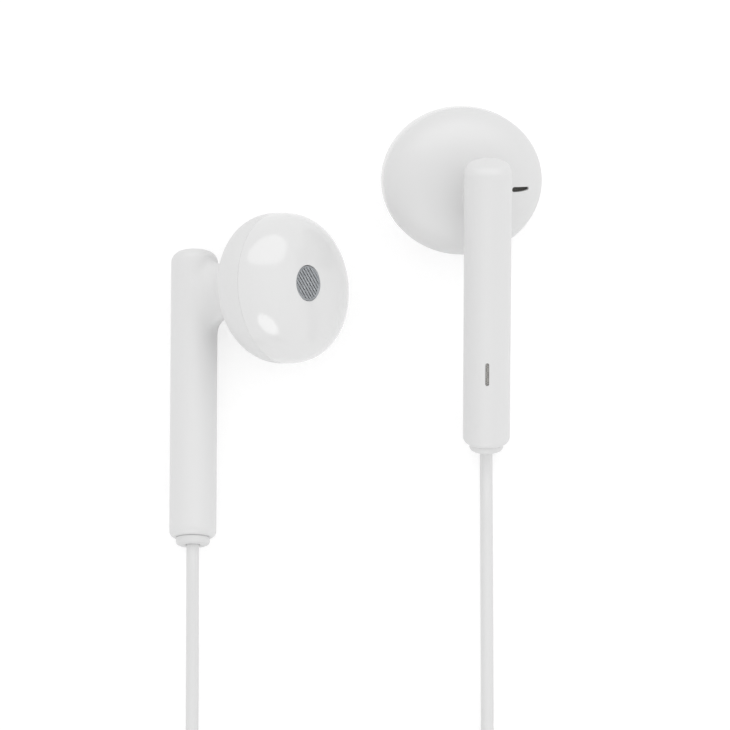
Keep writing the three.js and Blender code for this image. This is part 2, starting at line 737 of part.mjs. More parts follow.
const rightLower = freeCord('right_cord_lower', [
  mm(cordX, remoteCentreY - remoteReach - cordGap, remoteMiddle),
  mm(cordX, remoteCentreY - remoteReach - 2.5, remoteMiddle),
  fromStart(lowerCoil.start, lowerCoil.into, -2),
  fromStart(lowerCoil.start, lowerCoil.into, -cordGap),
], branchDiameter);

const splitterStart = splitterCentre.x - splitterLength / 2;
const rightSocket = mm(splitterStart, splitterCentre.y - branchSpacing / 2, splitterHalfHeight);
const leftSocket = mm(splitterStart, splitterCentre.y + branchSpacing / 2, splitterHalfHeight);
const alongX = mm(1, 0, 0);

const rightEnd = freeCord('right_cord_end', [
  fromStart(lowerCoil.end, lowerCoil.out, cordGap),
  fromStart(lowerCoil.end, lowerCoil.out, 1),
  mm(-13.1, -116.1, 2.6),
  mm(-13.5, -113.2, 1.7),
  mm(-12.6, -109.6, 0.9),
  mm(-12.2, -105, branchRest),
  mm(-12.2, -95, branchRest),
  mm(-12.2, -86, branchRest),
  mm(-11.8, -81, 1.0),
  mm(-10.2, -78.5, 1.6),
  fromStart(rightSocket, alongX, -2),
  fromStart(rightSocket, alongX, -cordGap),
], branchDiameter);

const leftUpper = freeCord('left_cord_upper', [
  fromStart(left.end, left.along, cordGap),
  fromStart(left.end, left.along, 1.6),
  mm(left.end.x, -19.5, 0.95),
  mm(left.end.x, -24, branchRest),
  mm(left.end.x, -34, branchRest),
  mm(left.end.x, -43.5, branchRest),
  mm(16.3, -49.5, 0.9),
  mm(19.9, -53.5, 1.2),
  fromStart(leftCoil.start, leftCoil.into, -2),
  fromStart(leftCoil.start, leftCoil.into, -cordGap),
], branchDiameter);

const leftEnd = freeCord('left_cord_end', [
  fromStart(leftCoil.end, leftCoil.out, cordGap),
  fromStart(leftCoil.end, leftCoil.out, 2),
  mm(2, -70.6, 2.0),
  mm(-6, -70.5, 0.9),
  mm(-9.6, -71.7, 0.85),
  mm(-10.7, -74, 1.2),
  mm(-9.5, -75.6, 1.7),
  fromStart(leftSocket, alongX, -2),
  fromStart(leftSocket, alongX, -cordGap),
], branchDiameter);

const mainSocket = mm(splitterCentre.x + splitterLength / 2, splitterCentre.y, splitterHalfHeight);
const mainStart = freeCord('main_cord_start', [
  fromStart(mainSocket, alongX, cordGap),
  fromStart(mainSocket, alongX, 2.2),
  mm(11.6, -78.6, 1.85),
  fromStart(mainCoil.start, mainCoil.into, -1.6),
  fromStart(mainCoil.start, mainCoil.into, -cordGap),
], mainDiameter);

const plugX = mainCoil.end.x;
const mainEnd = freeCord('main_cord_end', [
  fromStart(mainCoil.end, mainCoil.out, cordGap),
  fromStart(mainCoil.end, mainCoil.out, 2.5),
  mm(plugX, -105.2, 6.1),
  mm(plugX, plugStartY + 2.6, handleRadius),
  mm(plugX, plugStartY + cordGap, handleRadius),
], mainDiameter);

// ---------------------------------------------------------------- in-line remote

function taperedRelief(length, thick, thin, bore, neck, neckLength, flange) {
  // Z runs from the housing to the cord. The neck and the flange sit inside the housing.
  return revolved([
    [bore, -neckLength - 0.6],
    [flange, -neckLength - 0.6],
    [flange, -neckLength],
    [neck, -neckLength],
    [neck, 0.1],
    [thick, 0.1],
    [thick, 0.25 * length],
    [(thick + thin) / 2, 0.6 * length],
    [thin, length],
    [bore, length],
  ], hiddenSides);
}

function remote() {
  const group = new THREE.Group();
  const outline = (inset) => roundedBar(remoteLength - 2 * inset, remoteWidth - 2 * inset);
  const ceiling = remoteHeight - remoteWall;
  const body = toSolid(extruded(outline(0), 0, remoteHeight, remoteEdge));
  const cavity = toSolid(extruded(outline(remoteWall), remoteWall, ceiling));
  const half = (low, high) => toSolid(new THREE.BoxGeometry(20, 60, high - low).translate(0, 0, (low + high) / 2));
  const parting = remoteHeight / 2;
  const neck = 1.0;
  const cordWay = toSolid(disc(neck + 0.1, -remoteLength, remoteLength, 16).rotateX(Math.PI / 2).translate(0, 0, parting));

  // buttons: a cap through the shell, a flange under it and a plunger over its switch
  const buttons = [
    ['remote_button_up', buttonPitch, roundedBar],
    ['remote_button_middle', 0, null],
    ['remote_button_down', -buttonPitch, roundedBar],
  ];
  const capOutline = (kind, margin) =>
    kind
      ? roundedBar(longButtonLength + 2 * margin, longButtonWidth + 2 * margin, 1.6 + margin)
      : roundedBar(2 * (roundButton + margin), 2 * (roundButton + margin));
  const switchTop = remoteBoardHeight + remoteBoardThickness + switchHeight;
  let front = body.intersect(half(parting + seamGap / 2, remoteHeight + 1)).subtract(cavity).subtract(cordWay);
  for (const [name, y, kind] of buttons) {
    const opening = extruded(capOutline(kind, buttonClearance), ceiling - 1, remoteHeight + 1).translate(0, y, 0);
    front = front.subtract(toSolid(opening));
    const flangeTop = ceiling - 0.1;
    const cap = toSolid(extruded(capOutline(kind, 0), flangeTop - 0.2, remoteHeight + buttonProud, 0.2));
    const flange = toSolid(extruded(capOutline(kind, flangeMargin), flangeTop - flangeThickness, flangeTop));
    const plunger = toSolid(disc(0.8, switchTop + buttonTravel + 0.05, flangeTop - 0.1, 12));
    const whole = fromSolid(cap.add(flange).add(plunger)).translate(0, y, 0);
    group.add(piece(name, whole, glossWhite));
  }
  const microphoneY = -(buttonPitch + longButtonLength / 2 + flangeMargin + 0.2 + microphoneRadius);
  front = front.subtract(toSolid(disc(microphonePort, 0, 2 * remoteHeight, 10).translate(0, microphoneY, 0)));
  group.add(piece('remote_front_shell', fromSolid(front), glossWhite));

  // back shell, with two ledges for the board
  const ledgeWidth = 1.0;
  const ledge = (side) => {
    const box = new THREE.BoxGeometry(ledgeWidth, remoteLength / 2, remoteBoardHeight - 0.08 - remoteWall / 2);
    const x = side * (remoteWidth / 2 - remoteWall - ledgeWidth / 2 + 0.1);
    return toSolid(box.translate(x, 0, (remoteBoardHeight - 0.08 + remoteWall / 2) / 2));
  };
  const back = body.intersect(half(-1, parting - seamGap / 2)).subtract(cavity).subtract(cordWay);
  group.add(piece('remote_back_shell', fromSolid(back.add(ledge(1)).add(ledge(-1))), glossWhite));

  // board, with its dome switches and the microphone soldered on
  const flangeRoom = 2.2;
  const boardShape = roundedBar(remoteLength - 2 * (remoteWall + flangeRoom) + 1.8, remoteWidth - 2 * remoteWall - 0.4, 2);
  const boardTop = remoteBoardHeight + remoteBoardThickness;
  let circuit = toSolid(extruded(boardShape, remoteBoardHeight, boardTop));
  for (const [, y] of buttons) circuit = circuit.add(toSolid(disc(1.6, boardTop - 0.1, switchTop, 12).translate(0, y, 0)));
  const microphone = disc(microphoneRadius, boardTop - 0.1, boardTop + microphoneHeight, 14);
  circuit = circuit.add(toSolid(microphone.translate(0, microphoneY, 0)));
  group.add(piece('remote_board', fromSolid(circuit), boardGreen));

  const flangeEnd = 1.35;
  for (const [name, turn] of [['remote_relief_top', -1], ['remote_relief_bottom', 1]]) {
    const bore = branchDiameter / 2 + 0.05;
    const relief = taperedRelief(remoteRelief, remoteReliefRadius, 1.0, bore, neck, flangeEnd, 1.5);
    const mesh = piece(name, relief, satinWhite);
    mesh.rotation.x = (turn * Math.PI) / 2;
    mesh.position.set(0, (-turn * remoteLength) / 2, parting);
    group.add(mesh);
  }
  return group;
}

const remoteGroup = remote();
remoteGroup.position.set(cordX, remoteCentreY, 0);

// ---------------------------------------------------------------- splitter

function splitter() {
  // Long in X: wide where the two branches enter, narrow where the main cord leaves.
  const stations = [0, 0.04, 0.5, 0.94, 1];
  const sections = stations.map((share) => {
    const end = share === 0 || share === 1 ? 0.86 : 1;
    const width = splitterHalfWidth * end * (1 - (1 - splitterTaper) * share ** 2);
    const height = splitterHalfHeight * end * (1 - 0.25 * (1 - splitterTaper) * share ** 2);
    return superellipse(width, height, 16, 3).map((p) => mm(share * splitterLength, p.x, splitterHalfHeight + p.y));
  });
  return loft(sections).translate(splitterStart, splitterCentre.y, 0);
}

// ---------------------------------------------------------------- plug, Z from the handle to the tip

function plug() {
  const group = new THREE.Group();
  const pitch = ringLength + insulatorLength;
  const rings = [sleeveLength + insulatorLength, sleeveLength + insulatorLength + pitch];
  const tipStart = rings[1] + ringLength + insulatorLength;
  const root = -4;
  const coreProfile = [[corePinRadius + fit, root], [coreRadius, root]];
  for (const start of [sleeveLength, rings[0] + ringLength, rings[1] + ringLength]) {
    coreProfile.push([coreRadius, start + 0.02], [plugRadius, start + 0.02]);
    const last = start + insulatorLength >= tipStart;
    coreProfile.push([plugRadius, start + insulatorLength - 0.02]);
    if (!last) coreProfile.push([coreRadius, start + insulatorLength - 0.02]);
  }
  coreProfile.push([corePinRadius + fit, tipStart - 0.02]);
  group.add(piece('plug_insulator', revolved(coreProfile), insulatorWhite));

  const inner = coreRadius + fit;
  group.add(piece('plug_sleeve', ring(inner, plugRadius, root, sleeveLength), plated));
  const contact = (start) => ring(inner, plugRadius, start, start + ringLength);
  group.add(piece('plug_ring_outer', contact(rings[0]), plated));
  group.add(piece('plug_ring_inner', contact(rings[1]), plated));
  const tip = [
    [0, root],
    [corePinRadius, root],
    [corePinRadius, tipStart],
    [0.8 * plugRadius, tipStart],
    [0.66 * plugRadius, tipStart + 0.22 * tipLength],
    [0.66 * plugRadius, tipStart + 0.32 * tipLength],
    [plugRadius, tipStart + 0.5 * tipLength],
    [0.86 * plugRadius, tipStart + 0.72 * tipLength],
    [0.3 * plugRadius, tipStart + tipLength],
    [0, tipStart + tipLength],
  ];
  group.add(piece('plug_tip', revolved(tip), plated));

  const soft = 0.5;
  const back = -handleLength;
  const bore = plugRadius + fit;
  const handle = [
    [0, back + 1.6],
    [plugReliefRadius * 0.6 + fit, back + 1.6],
    [plugReliefRadius * 0.6 + fit, back],
    [handleRadius - soft, back],
    [handleRadius, back + soft],
    [handleRadius, -soft],
    [handleRadius - soft, 0],
    [bore, 0],
    [bore, -handleBoreDepth],
    [0, -handleBoreDepth],
  ];
  group.add(piece('plug_handle', revolved(handle, 20), glossWhite));
  const hole = mainDiameter / 2 + 0.05;
  const relief = revolved([
    [hole, 1.4],
    [plugReliefRadius * 0.6, 1.4],
    [plugReliefRadius * 0.6, -0.1],
    [plugReliefRadius, -0.1],
    [plugReliefRadius, -0.25 * plugReliefLength],
    [0.8 * plugReliefRadius, -0.6 * plugReliefLength],
    [hole + 0.4, -plugReliefLength],
    [hole, -plugReliefLength],
  ]).translate(0, 0, back);
  group.add(piece('plug_relief', relief, satinWhite));
  return group;
}

const plugGroup = plug();
plugGroup.position.set(plugX, plugStartY - plugReliefLength - handleLength, handleRadius);
plugGroup.rotation.x = Math.PI / 2;

// ---------------------------------------------------------------- the whole

const earphones = new THREE.Group();
earphones.add(rightEar, leftEar, remoteGroup, plugGroup);
earphones.add(piece('splitter', splitter(), satinWhite));
for (const wound of [upperCoil, lowerCoil, leftCoil, mainCoil]) earphones.add(wound.mesh);
const stretches = [rightUpper, rightMiddle, rightLower, rightEnd, leftUpper, leftEnd, mainStart, mainEnd];
for (const stretch of stretches) earphones.add(stretch.mesh);
earphones.add(coilTie('right_tie_upper', upperCoil, upperSettings, 45));
earphones.add(coilTie('right_tie_lower', lowerCoil, lowerSettings, 300));
earphones.add(coilTie('left_tie', leftCoil, leftSettings, 200));
earphones.add(coilTie('main_tie', mainCoil, mainSettings, 250));
earphones.updateMatrixWorld(true);

const rightLength = rightUpper.length + upperCoil.length + rightMiddle.length + remoteLength + 2 * remoteRelief
  + rightLower.length + lowerCoil.length + rightEnd.length;
const leftLength = leftUpper.length + leftCoil.length + leftEnd.length;
const mainLength = mainStart.length + mainCoil.length + mainEnd.length;
for (const [cord, length] of [['right', rightLength], ['left', leftLength], ['main', mainLength]]) {
  console.log(`${cord} cord: ${length.toFixed(0)} mm`);
}

export default earphones;
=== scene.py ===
# %% [markdown]
# # A pair of wired half-in-ear earphones on a white table
#
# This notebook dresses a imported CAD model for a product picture. The CAD part is the fixed frame: every
# piece made here sits where its CAD node sits, in metres, with +Z up. It starts with the camera and the
# cords, because they decide what the picture shows and how much room the set takes.

import json
import math

import bmesh
import bpy
import numpy as np
from mathutils import Matrix, Vector


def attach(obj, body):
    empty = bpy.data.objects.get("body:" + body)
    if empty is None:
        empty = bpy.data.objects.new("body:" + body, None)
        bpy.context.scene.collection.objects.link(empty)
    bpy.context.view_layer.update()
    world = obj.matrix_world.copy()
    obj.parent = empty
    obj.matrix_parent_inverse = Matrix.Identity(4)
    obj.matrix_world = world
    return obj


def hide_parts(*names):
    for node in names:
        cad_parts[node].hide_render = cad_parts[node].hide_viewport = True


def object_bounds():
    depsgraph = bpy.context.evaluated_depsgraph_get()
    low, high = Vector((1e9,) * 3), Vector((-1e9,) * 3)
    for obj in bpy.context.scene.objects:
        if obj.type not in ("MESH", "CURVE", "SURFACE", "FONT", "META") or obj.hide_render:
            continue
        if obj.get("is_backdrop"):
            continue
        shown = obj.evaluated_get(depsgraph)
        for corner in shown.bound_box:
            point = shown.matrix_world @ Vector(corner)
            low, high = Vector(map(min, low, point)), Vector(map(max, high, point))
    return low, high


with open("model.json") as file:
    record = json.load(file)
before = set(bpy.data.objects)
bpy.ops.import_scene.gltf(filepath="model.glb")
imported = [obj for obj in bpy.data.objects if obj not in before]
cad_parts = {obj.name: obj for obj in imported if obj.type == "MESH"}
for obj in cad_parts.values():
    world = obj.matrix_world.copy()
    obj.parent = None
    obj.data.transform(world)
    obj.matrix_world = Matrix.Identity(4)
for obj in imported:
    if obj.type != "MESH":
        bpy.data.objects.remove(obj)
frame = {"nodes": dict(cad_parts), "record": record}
cad_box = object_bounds()

# %% [markdown]
# ## The camera
#
# The photograph looks almost straight down, 77 degrees above the table, from far away, so both stems stay
# nearly parallel. A long lens does that. The frame is square and 81 mm wide at the earpieces.

# %% Place the camera
MM = 0.001
VIEW_TARGET = Vector((0.97, -3.9, 2.6)) * MM
VIEW_ELEVATION = math.radians(76.9)
VIEW_DISTANCE = 0.7
WIDTH_SEEN = 81.1 * MM
SENSOR_WIDTH = 36  # millimetres

lens_data = bpy.data.cameras.new("studio_camera")
camera = bpy.data.objects.new("studio_camera", lens_data)
bpy.context.scene.collection.objects.link(camera)
toward_camera = Vector((0, -math.cos(VIEW_ELEVATION), math.sin(VIEW_ELEVATION)))
camera.location = VIEW_TARGET + VIEW_DISTANCE * toward_camera
camera.rotation_euler = (math.pi / 2 - VIEW_ELEVATION, 0, 0)
lens_data.sensor_width = SENSOR_WIDTH
lens_data.lens = SENSOR_WIDTH * VIEW_DISTANCE / WIDTH_SEEN
lens_data.clip_start = 0.01
lens_data.clip_end = 10
bpy.context.scene.camera = camera
print(f"lens {lens_data.lens:.0f} mm, camera at {tuple(round(c, 3) for c in camera.location)}")

# %% [markdown]
# ## The cords
#
# Each cord is a conductor pair in a soft elastomer sheath. It is limp, so it runs straight out of its exit,
# drops to the table and lies there. What the photograph doesn't show is wound into tied coils just past
# the lower edge of the picture. A cord is one smooth curve: a centripetal Catmull-Rom spline through a few
# route points, which never loops or overshoots, and a spiral for each coil.

# %% A smooth line through route points
BRANCH = 1.4  # sheath diameters, in millimetres like every number of a route
MAIN = 2.0
GAP = 0.3  # the CAD leaves this between a cord and its coil
INSIDE = 0.8  # and a cord goes this far into what holds its end


def smooth_line(points, step=0.7):
    """Points every `step` millimetres along a centripetal Catmull-Rom spline."""
    points = [Vector(p) for p in points]
    padded = [2 * points[0] - points[1], *points, 2 * points[-1] - points[-2]]
    line = []
    for p0, p1, p2, p3 in zip(padded, padded[1:], padded[2:], padded[3:]):
        t1 = (p1 - p0).length ** 0.5
        t2 = t1 + (p2 - p1).length ** 0.5
        t3 = t2 + (p3 - p2).length ** 0.5
        count = max(2, round((p2 - p1).length / step))
        for i in range(count):
            t = t1 + (t2 - t1) * i / count
            a1 = p0.lerp(p1, t / t1)
            a2 = p1.lerp(p2, (t - t1) / (t2 - t1))
            a3 = p2.lerp(p3, (t - t2) / (t3 - t2))
            b1 = a1.lerp(a2, t / t2)
            b2 = a2.lerp(a3, (t - t1) / (t3 - t1))
            line.append(b1.lerp(b2, (t - t1) / (t2 - t1)))
    return line + [points[-1]]


# %% The spiral of a coil
TURN_GAP = 0.45
TIE_ROOM = 0.8  # strap and clearance under a coil
CLIMB = 0.5  # of a turn, from one layer to the next


def smoothstep(x):
    x = min(max(x, 0.0), 1.0)
    return x * x * (3 - 2 * x)


def coil_reach(radius, turns, layers, diameter):
    """How far from its centre a coil's line starts and ends."""
    return radius + (diameter + TURN_GAP) * turns / layers / 2


def wound_coil(centre, radius, turns, layers, diameter, entry, hand, steps=48):
    """Spirals in, climbs a layer as it turns back, spirals out. Returns its line and its two tangents."""
    pitch = diameter + TURN_GAP
    per_layer = turns / layers
    outer = coil_reach(radius, turns, layers, diameter)
    line = []
    for i in range(round(turns * steps) + 1):
        turn = i / steps
        phase = turn / per_layer % 2
        reach = outer - pitch * per_layer * min(phase, 2 - phase)
        height = TIE_ROOM + diameter / 2
        for layer in range(1, layers):
            height += pitch * smoothstep((turn - layer * per_layer) / CLIMB + 0.5)
        angle = math.radians(entry) + hand * 2 * math.pi * turn
        x, y = reach * math.cos(angle), reach * math.sin(angle)
        line.append(Vector((centre[0] + x, centre[1] + y, height)))
    tangents = []
    for turn in (0, turns):
        angle = math.radians(entry) + hand * (2 * math.pi * turn + math.pi / 2)
        tangents.append(Vector((math.cos(angle), math.sin(angle), 0)))
    start = line[0] - diameter * tangents[0]
    end = line[-1] + diameter * tangents[1]
    return [start, *line, end], tangents[0], tangents[1]


# %% The four coils
CORD_X, LEFT_CORD_X = -18.04, 14.42  # the lines on which the right and the left cord lie
COIL_RADIUS, MAIN_COIL_RADIUS = 7.7, 11.0
upper_centre = (CORD_X + coil_reach(COIL_RADIUS, 2, 2, BRANCH), -57.2)
lower_centre = (CORD_X + coil_reach(COIL_RADIUS, 2.75, 2, BRANCH), -126.2)
upper_coil, upper_in, upper_out = wound_coil(upper_centre, COIL_RADIUS, 2, 2, BRANCH, 180, 1)
lower_coil, lower_in, lower_out = wound_coil(lower_centre, COIL_RADIUS, 2.75, 2, BRANCH, 180, 1)
left_coil, left_in, left_out = wound_coil((11.2, -59.8), COIL_RADIUS, 6.25, 2, BRANCH, 0, -1)
main_coil, main_in, main_out = wound_coil((4.9, -95.7), MAIN_COIL_RADIUS, 10.125, 4, MAIN, 45, -1)

# %% Where the cords leave the earpieces, and enter the remote, the splitter and the plug
LYING = 0.75  # the height of a branch cord's middle on the table
REMOTE_Y, REMOTE_LENGTH, RELIEF_LENGTH = -92.2, 34, 5
REMOTE_AXIS = 2.5  # the cord's height in the remote
SPLITTER_Y, SPLITTER_LENGTH, SPLITTER_AXIS = -76.8, 12, 2.0
BRANCH_ASIDE = 0.95  # from the splitter's middle
PLUG_X, PLUG_Y, PLUG_AXIS = main_coil[-1].x, -112.4, 3.1

RIGHT_STEM_AXIS = 2.594  # the height of the lying stem's middle
right_exit, right_way = Vector((CORD_X, -24.31, RIGHT_STEM_AXIS)), Vector((0, -1, 0))
left_exit, left_way = Vector((LEFT_CORD_X, -13.312, 1.659)), Vector((0, -0.8453, -0.5344))
remote_reach = REMOTE_LENGTH / 2 + RELIEF_LENGTH
remote_ends = (REMOTE_Y + remote_reach, REMOTE_Y - remote_reach)
along_x = Vector((1, 0, 0))
right_socket = Vector((-SPLITTER_LENGTH / 2, SPLITTER_Y - BRANCH_ASIDE, SPLITTER_AXIS))
left_socket = Vector((-SPLITTER_LENGTH / 2, SPLITTER_Y + BRANCH_ASIDE, SPLITTER_AXIS))
main_socket = Vector((SPLITTER_LENGTH / 2, SPLITTER_Y, SPLITTER_AXIS))

# %% The routes between them
right_first = (
    smooth_line([right_exit - INSIDE * right_way, right_exit + 3 * right_way, (CORD_X, -33, 1.5),
                 (CORD_X, -40, LYING), (CORD_X, -48, LYING), upper_coil[0] - 3 * upper_in,
                 upper_coil[0] - GAP * upper_in])
    + upper_coil
    + smooth_line([upper_coil[-1] + GAP * upper_out, upper_coil[-1] + 2.5 * upper_out,
                   (CORD_X, remote_ends[0] + 2.5, REMOTE_AXIS),
                   (CORD_X, remote_ends[0] - INSIDE, REMOTE_AXIS)])
)
right_second = (
    smooth_line([(CORD_X, remote_ends[1] + INSIDE, REMOTE_AXIS), (CORD_X, remote_ends[1] - 2.5, REMOTE_AXIS),
                 lower_coil[0] - 2 * lower_in, lower_coil[0] - GAP * lower_in])
    + lower_coil
    + smooth_line([lower_coil[-1] + GAP * lower_out, lower_coil[-1] + lower_out, (-13.1, -116.1, 2.6),
                   (-13.5, -113.2, 1.7), (-12.6, -109.6, 0.9), (-12.2, -105, LYING), (-12.2, -95, LYING),
                   (-12.2, -86, LYING), (-11.8, -81, 1.0), (-10.2, -78.5, 1.6), right_socket - 2 * along_x,
                   right_socket + INSIDE * along_x])
)
left_whole = (
    smooth_line([left_exit - INSIDE * left_way, left_exit + 1.6 * left_way, (LEFT_CORD_X, -19.5, 0.95),
                 *[(LEFT_CORD_X, y, LYING) for y in (-24, -34, -43.5, -44.6)], (16.3, -49.5, 0.9),
                 (19.9, -53.5, 1.2), left_coil[0] - 2 * left_in, left_coil[0] - GAP * left_in])
    + left_coil
    + smooth_line([left_coil[-1] + GAP * left_out, left_coil[-1] + 2 * left_out, (2, -70.6, 2.0),
                   (-6, -70.5, 0.9), (-9.6, -71.7, 0.85), (-10.7, -74, 1.2), (-9.5, -75.6, 1.7),
                   left_socket - 2 * along_x, left_socket + INSIDE * along_x])
)
main_whole = (
    smooth_line([main_socket - INSIDE * along_x, main_socket + 2.2 * along_x, (11.6, -78.6, 1.85),
                 main_coil[0] - 1.6 * main_in, main_coil[0] - GAP * main_in])
    + main_coil
    + smooth_line([main_coil[-1] + GAP * main_out, main_coil[-1] + 2.5 * main_out, (PLUG_X, -105.2, 6.1),
                   (PLUG_X, PLUG_Y + 2.6, PLUG_AXIS), (PLUG_X, PLUG_Y - INSIDE, PLUG_AXIS)])
)

# %% Draw a cord as a round curve


def spaced(line, least=0.25):
    """Leaves out points that lie closer together than `least`."""
    kept = [line[0]]
    for point in line[1:-1]:
        if (point - kept[-1]).length > least:
            kept.append(point)
    return kept + [line[-1]]


def line_length(line):
    return sum((b - a).length for a, b in zip(line, line[1:]))


def sheathed_cord(name, line, diameter):
    line = spaced(line)
    curve = bpy.data.curves.new(name, "CURVE")
    curve.dimensions = "3D"
    curve.bevel_depth = diameter / 2 * MM
    curve.bevel_resolution = 4
    curve.use_fill_caps = True
    spline = curve.splines.new("POLY")
    spline.points.add(len(line) - 1)
    for place, point in zip(spline.points, line):
        place.co = (*(point * MM), 1)
    spline.use_smooth = True
    cord = bpy.data.objects.new(name, curve)
    bpy.context.scene.collection.objects.link(cord)
    print(f"{name}: {len(line)} points, {line_length(line):.0f} mm")
    return cord


cord_lines = {
    "right_cord_to_remote": (right_first, BRANCH),
    "right_cord_to_splitter": (right_second, BRANCH),
    "left_cord": (left_whole, BRANCH),
    "main_cord": (main_whole, MAIN),
}
cords = {name: sheathed_cord(name, line, width) for name, (line, width) in cord_lines.items()}


# %% [markdown]
# ## Nodes for materials
#
# Each finish is a small tree of shader nodes. One helper adds a node with its settings and its links, and
# one turns a colour as a designer writes it, in sRGB hex, into the linear numbers that the shader wants.
# A third gives a fresh tree with its coordinates, so each cell only says what is special about a material.

# %% Material helpers


def linear(hex_colour):
    levels = [int(hex_colour[i : i + 2], 16) / 255 for i in (1, 3, 5)]
    return (*[c / 12.92 if c <= 0.04045 else ((c + 0.055) / 1.055) ** 2.4 for c in levels], 1)


def add(tree, kind, inputs=None, **settings):
    """Adds one node. An input is a value, or the output socket of another node."""
    node = tree.nodes.new(kind)
    for name, value in settings.items():
        setattr(node, name, value)
    for socket, value in (inputs or {}).items():
        if isinstance(value, bpy.types.NodeSocket):
            tree.links.new(value, node.inputs[socket])
        else:
            node.inputs[socket].default_value = value
    return node


def new_finish(name):
    material = bpy.data.materials.new(name)
    material.use_nodes = True
    material.node_tree.nodes.clear()
    tree = material.node_tree
    place = add(tree, "ShaderNodeTexCoord").outputs["Object"]
    return material, tree, place


def per_metre(millimetres):
    """The scale of a noise whose grains are about this wide: object coordinates are in metres."""
    return 1000 / millimetres


# %% [markdown]
# ### Moulded ABS, glossy and satin
#
# The shells are white ABS. The face comes from a polished mould and shows two crisp highlights. The
# rear housing shows none, so its mould is taken as finely spark-eroded, which gives a satin surface. The
# satin copy is also a touch greyer: that is painted shade on the rear housing, since it is the same plastic.
# A reflection in moulded plastic wavers a little, because it shrinks unevenly as it cools: a very weak,
# wide bump. Handling leaves faint differences in gloss: a finer noise in the roughness.

# %% White shells


def moulded_abs(name, colour, smoothest, roughest):
    material, tree, place = new_finish(name)
    shrink = add(tree, "ShaderNodeTexNoise", {"Vector": place, "Scale": per_metre(4), "Detail": 2.0})
    handling = add(tree, "ShaderNodeTexNoise", {"Vector": place, "Scale": per_metre(1.2), "Detail": 4.0})
    gloss = add(tree, "ShaderNodeMapRange", {
        "Value": handling.outputs["Fac"], "To Min": smoothest, "To Max": roughest,
    })
    waver = add(tree, "ShaderNodeBump", {
        "Height": shrink.outputs["Fac"], "Strength": 0.03, "Distance": 0.0002,
    })
    surface = add(tree, "ShaderNodeBsdfPrincipled", {
        "Base Color": linear(colour), "Roughness": gloss.outputs["Result"], "IOR": 1.54,
        "Normal": waver.outputs["Normal"],
    })
    add(tree, "ShaderNodeOutputMaterial", {"Surface": surface.outputs[0]})
    return material


abs_gloss = moulded_abs("moulded_abs_gloss", "#E7E7E7", 0.1, 0.18)
# the satin copy is a touch greyer than the gloss one: painted shade on the rear housing
abs_satin = moulded_abs("moulded_abs_satin_painted_shade", "#E3E3E3", 0.45, 0.55)

# %% [markdown]
# ### Satin elastomer
#
# The grommets, the reliefs and the splitter are a soft thermoplastic elastomer. Its mould is lightly
# blasted, so that it isn't sticky: fine grain about a tenth of a millimetre wide, and a broad, dull gloss.

# %% Satin white elastomer
elastomer, tree, place = new_finish("blasted_tpe_satin")
grain = add(tree, "ShaderNodeTexNoise", {"Vector": place, "Scale": per_metre(0.12), "Detail": 3.0})
tone = add(tree, "ShaderNodeTexNoise", {"Vector": place, "Scale": per_metre(3), "Detail": 2.0})
colour = add(tree, "ShaderNodeMix", {
    0: tone.outputs["Fac"], 6: linear("#DDDDDD"), 7: linear("#E3E3E3"),  # 6 and 7 are its colours
}, data_type="RGBA")
feel = add(tree, "ShaderNodeBump", {"Height": grain.outputs["Fac"], "Strength": 0.15, "Distance": 0.00002})
surface = add(tree, "ShaderNodeBsdfPrincipled", {
    "Base Color": colour.outputs[2], "Roughness": 0.5, "IOR": 1.5, "Normal": feel.outputs["Normal"],
})
add(tree, "ShaderNodeOutputMaterial", {"Surface": surface.outputs[0]})

# %% [markdown]
# ### Cord sheath
#
# The sheath is extruded, so it is smoother along than around, and slightly glossier than the moulded
# elastomer. Long, low undulations come from the conductors inside.

# %% Cord sheath
sheath, tree, place = new_finish("extruded_tpe_sheath")
lay = add(tree, "ShaderNodeTexNoise", {"Vector": place, "Scale": per_metre(2.5), "Detail": 2.0})
dust = add(tree, "ShaderNodeTexNoise", {"Vector": place, "Scale": per_metre(0.4), "Detail": 3.0})
gloss = add(tree, "ShaderNodeMapRange", {"Value": dust.outputs["Fac"], "To Min": 0.38, "To Max": 0.5})
feel = add(tree, "ShaderNodeBump", {"Height": lay.outputs["Fac"], "Strength": 0.08, "Distance": 0.0001})
surface = add(tree, "ShaderNodeBsdfPrincipled", {
    "Base Color": linear("#E2E2E2"), "Roughness": gloss.outputs["Result"], "IOR": 1.5,
    "Normal": feel.outputs["Normal"],
})
add(tree, "ShaderNodeOutputMaterial", {"Surface": surface.outputs[0]})

# %% [markdown]
# ### Stainless wire
#
# The grille is woven from stainless wire, pickled to a dull grey with a hint of blue, so that it does not
# glitter. The gaps between the wires do the rest: from a step away it reads blue-grey.

# %% Stainless wire
stainless, tree, place = new_finish("pickled_stainless_wire")
draw = add(tree, "ShaderNodeTexNoise", {"Vector": place, "Scale": per_metre(0.2), "Detail": 2.0})
gloss = add(tree, "ShaderNodeMapRange", {"Value": draw.outputs["Fac"], "To Min": 0.45, "To Max": 0.6})
surface = add(tree, "ShaderNodeBsdfPrincipled", {
    "Base Color": linear("#A5A8AB"), "Metallic": 1.0, "Roughness": gloss.outputs["Result"],
})
add(tree, "ShaderNodeOutputMaterial", {"Surface": surface.outputs[0]})
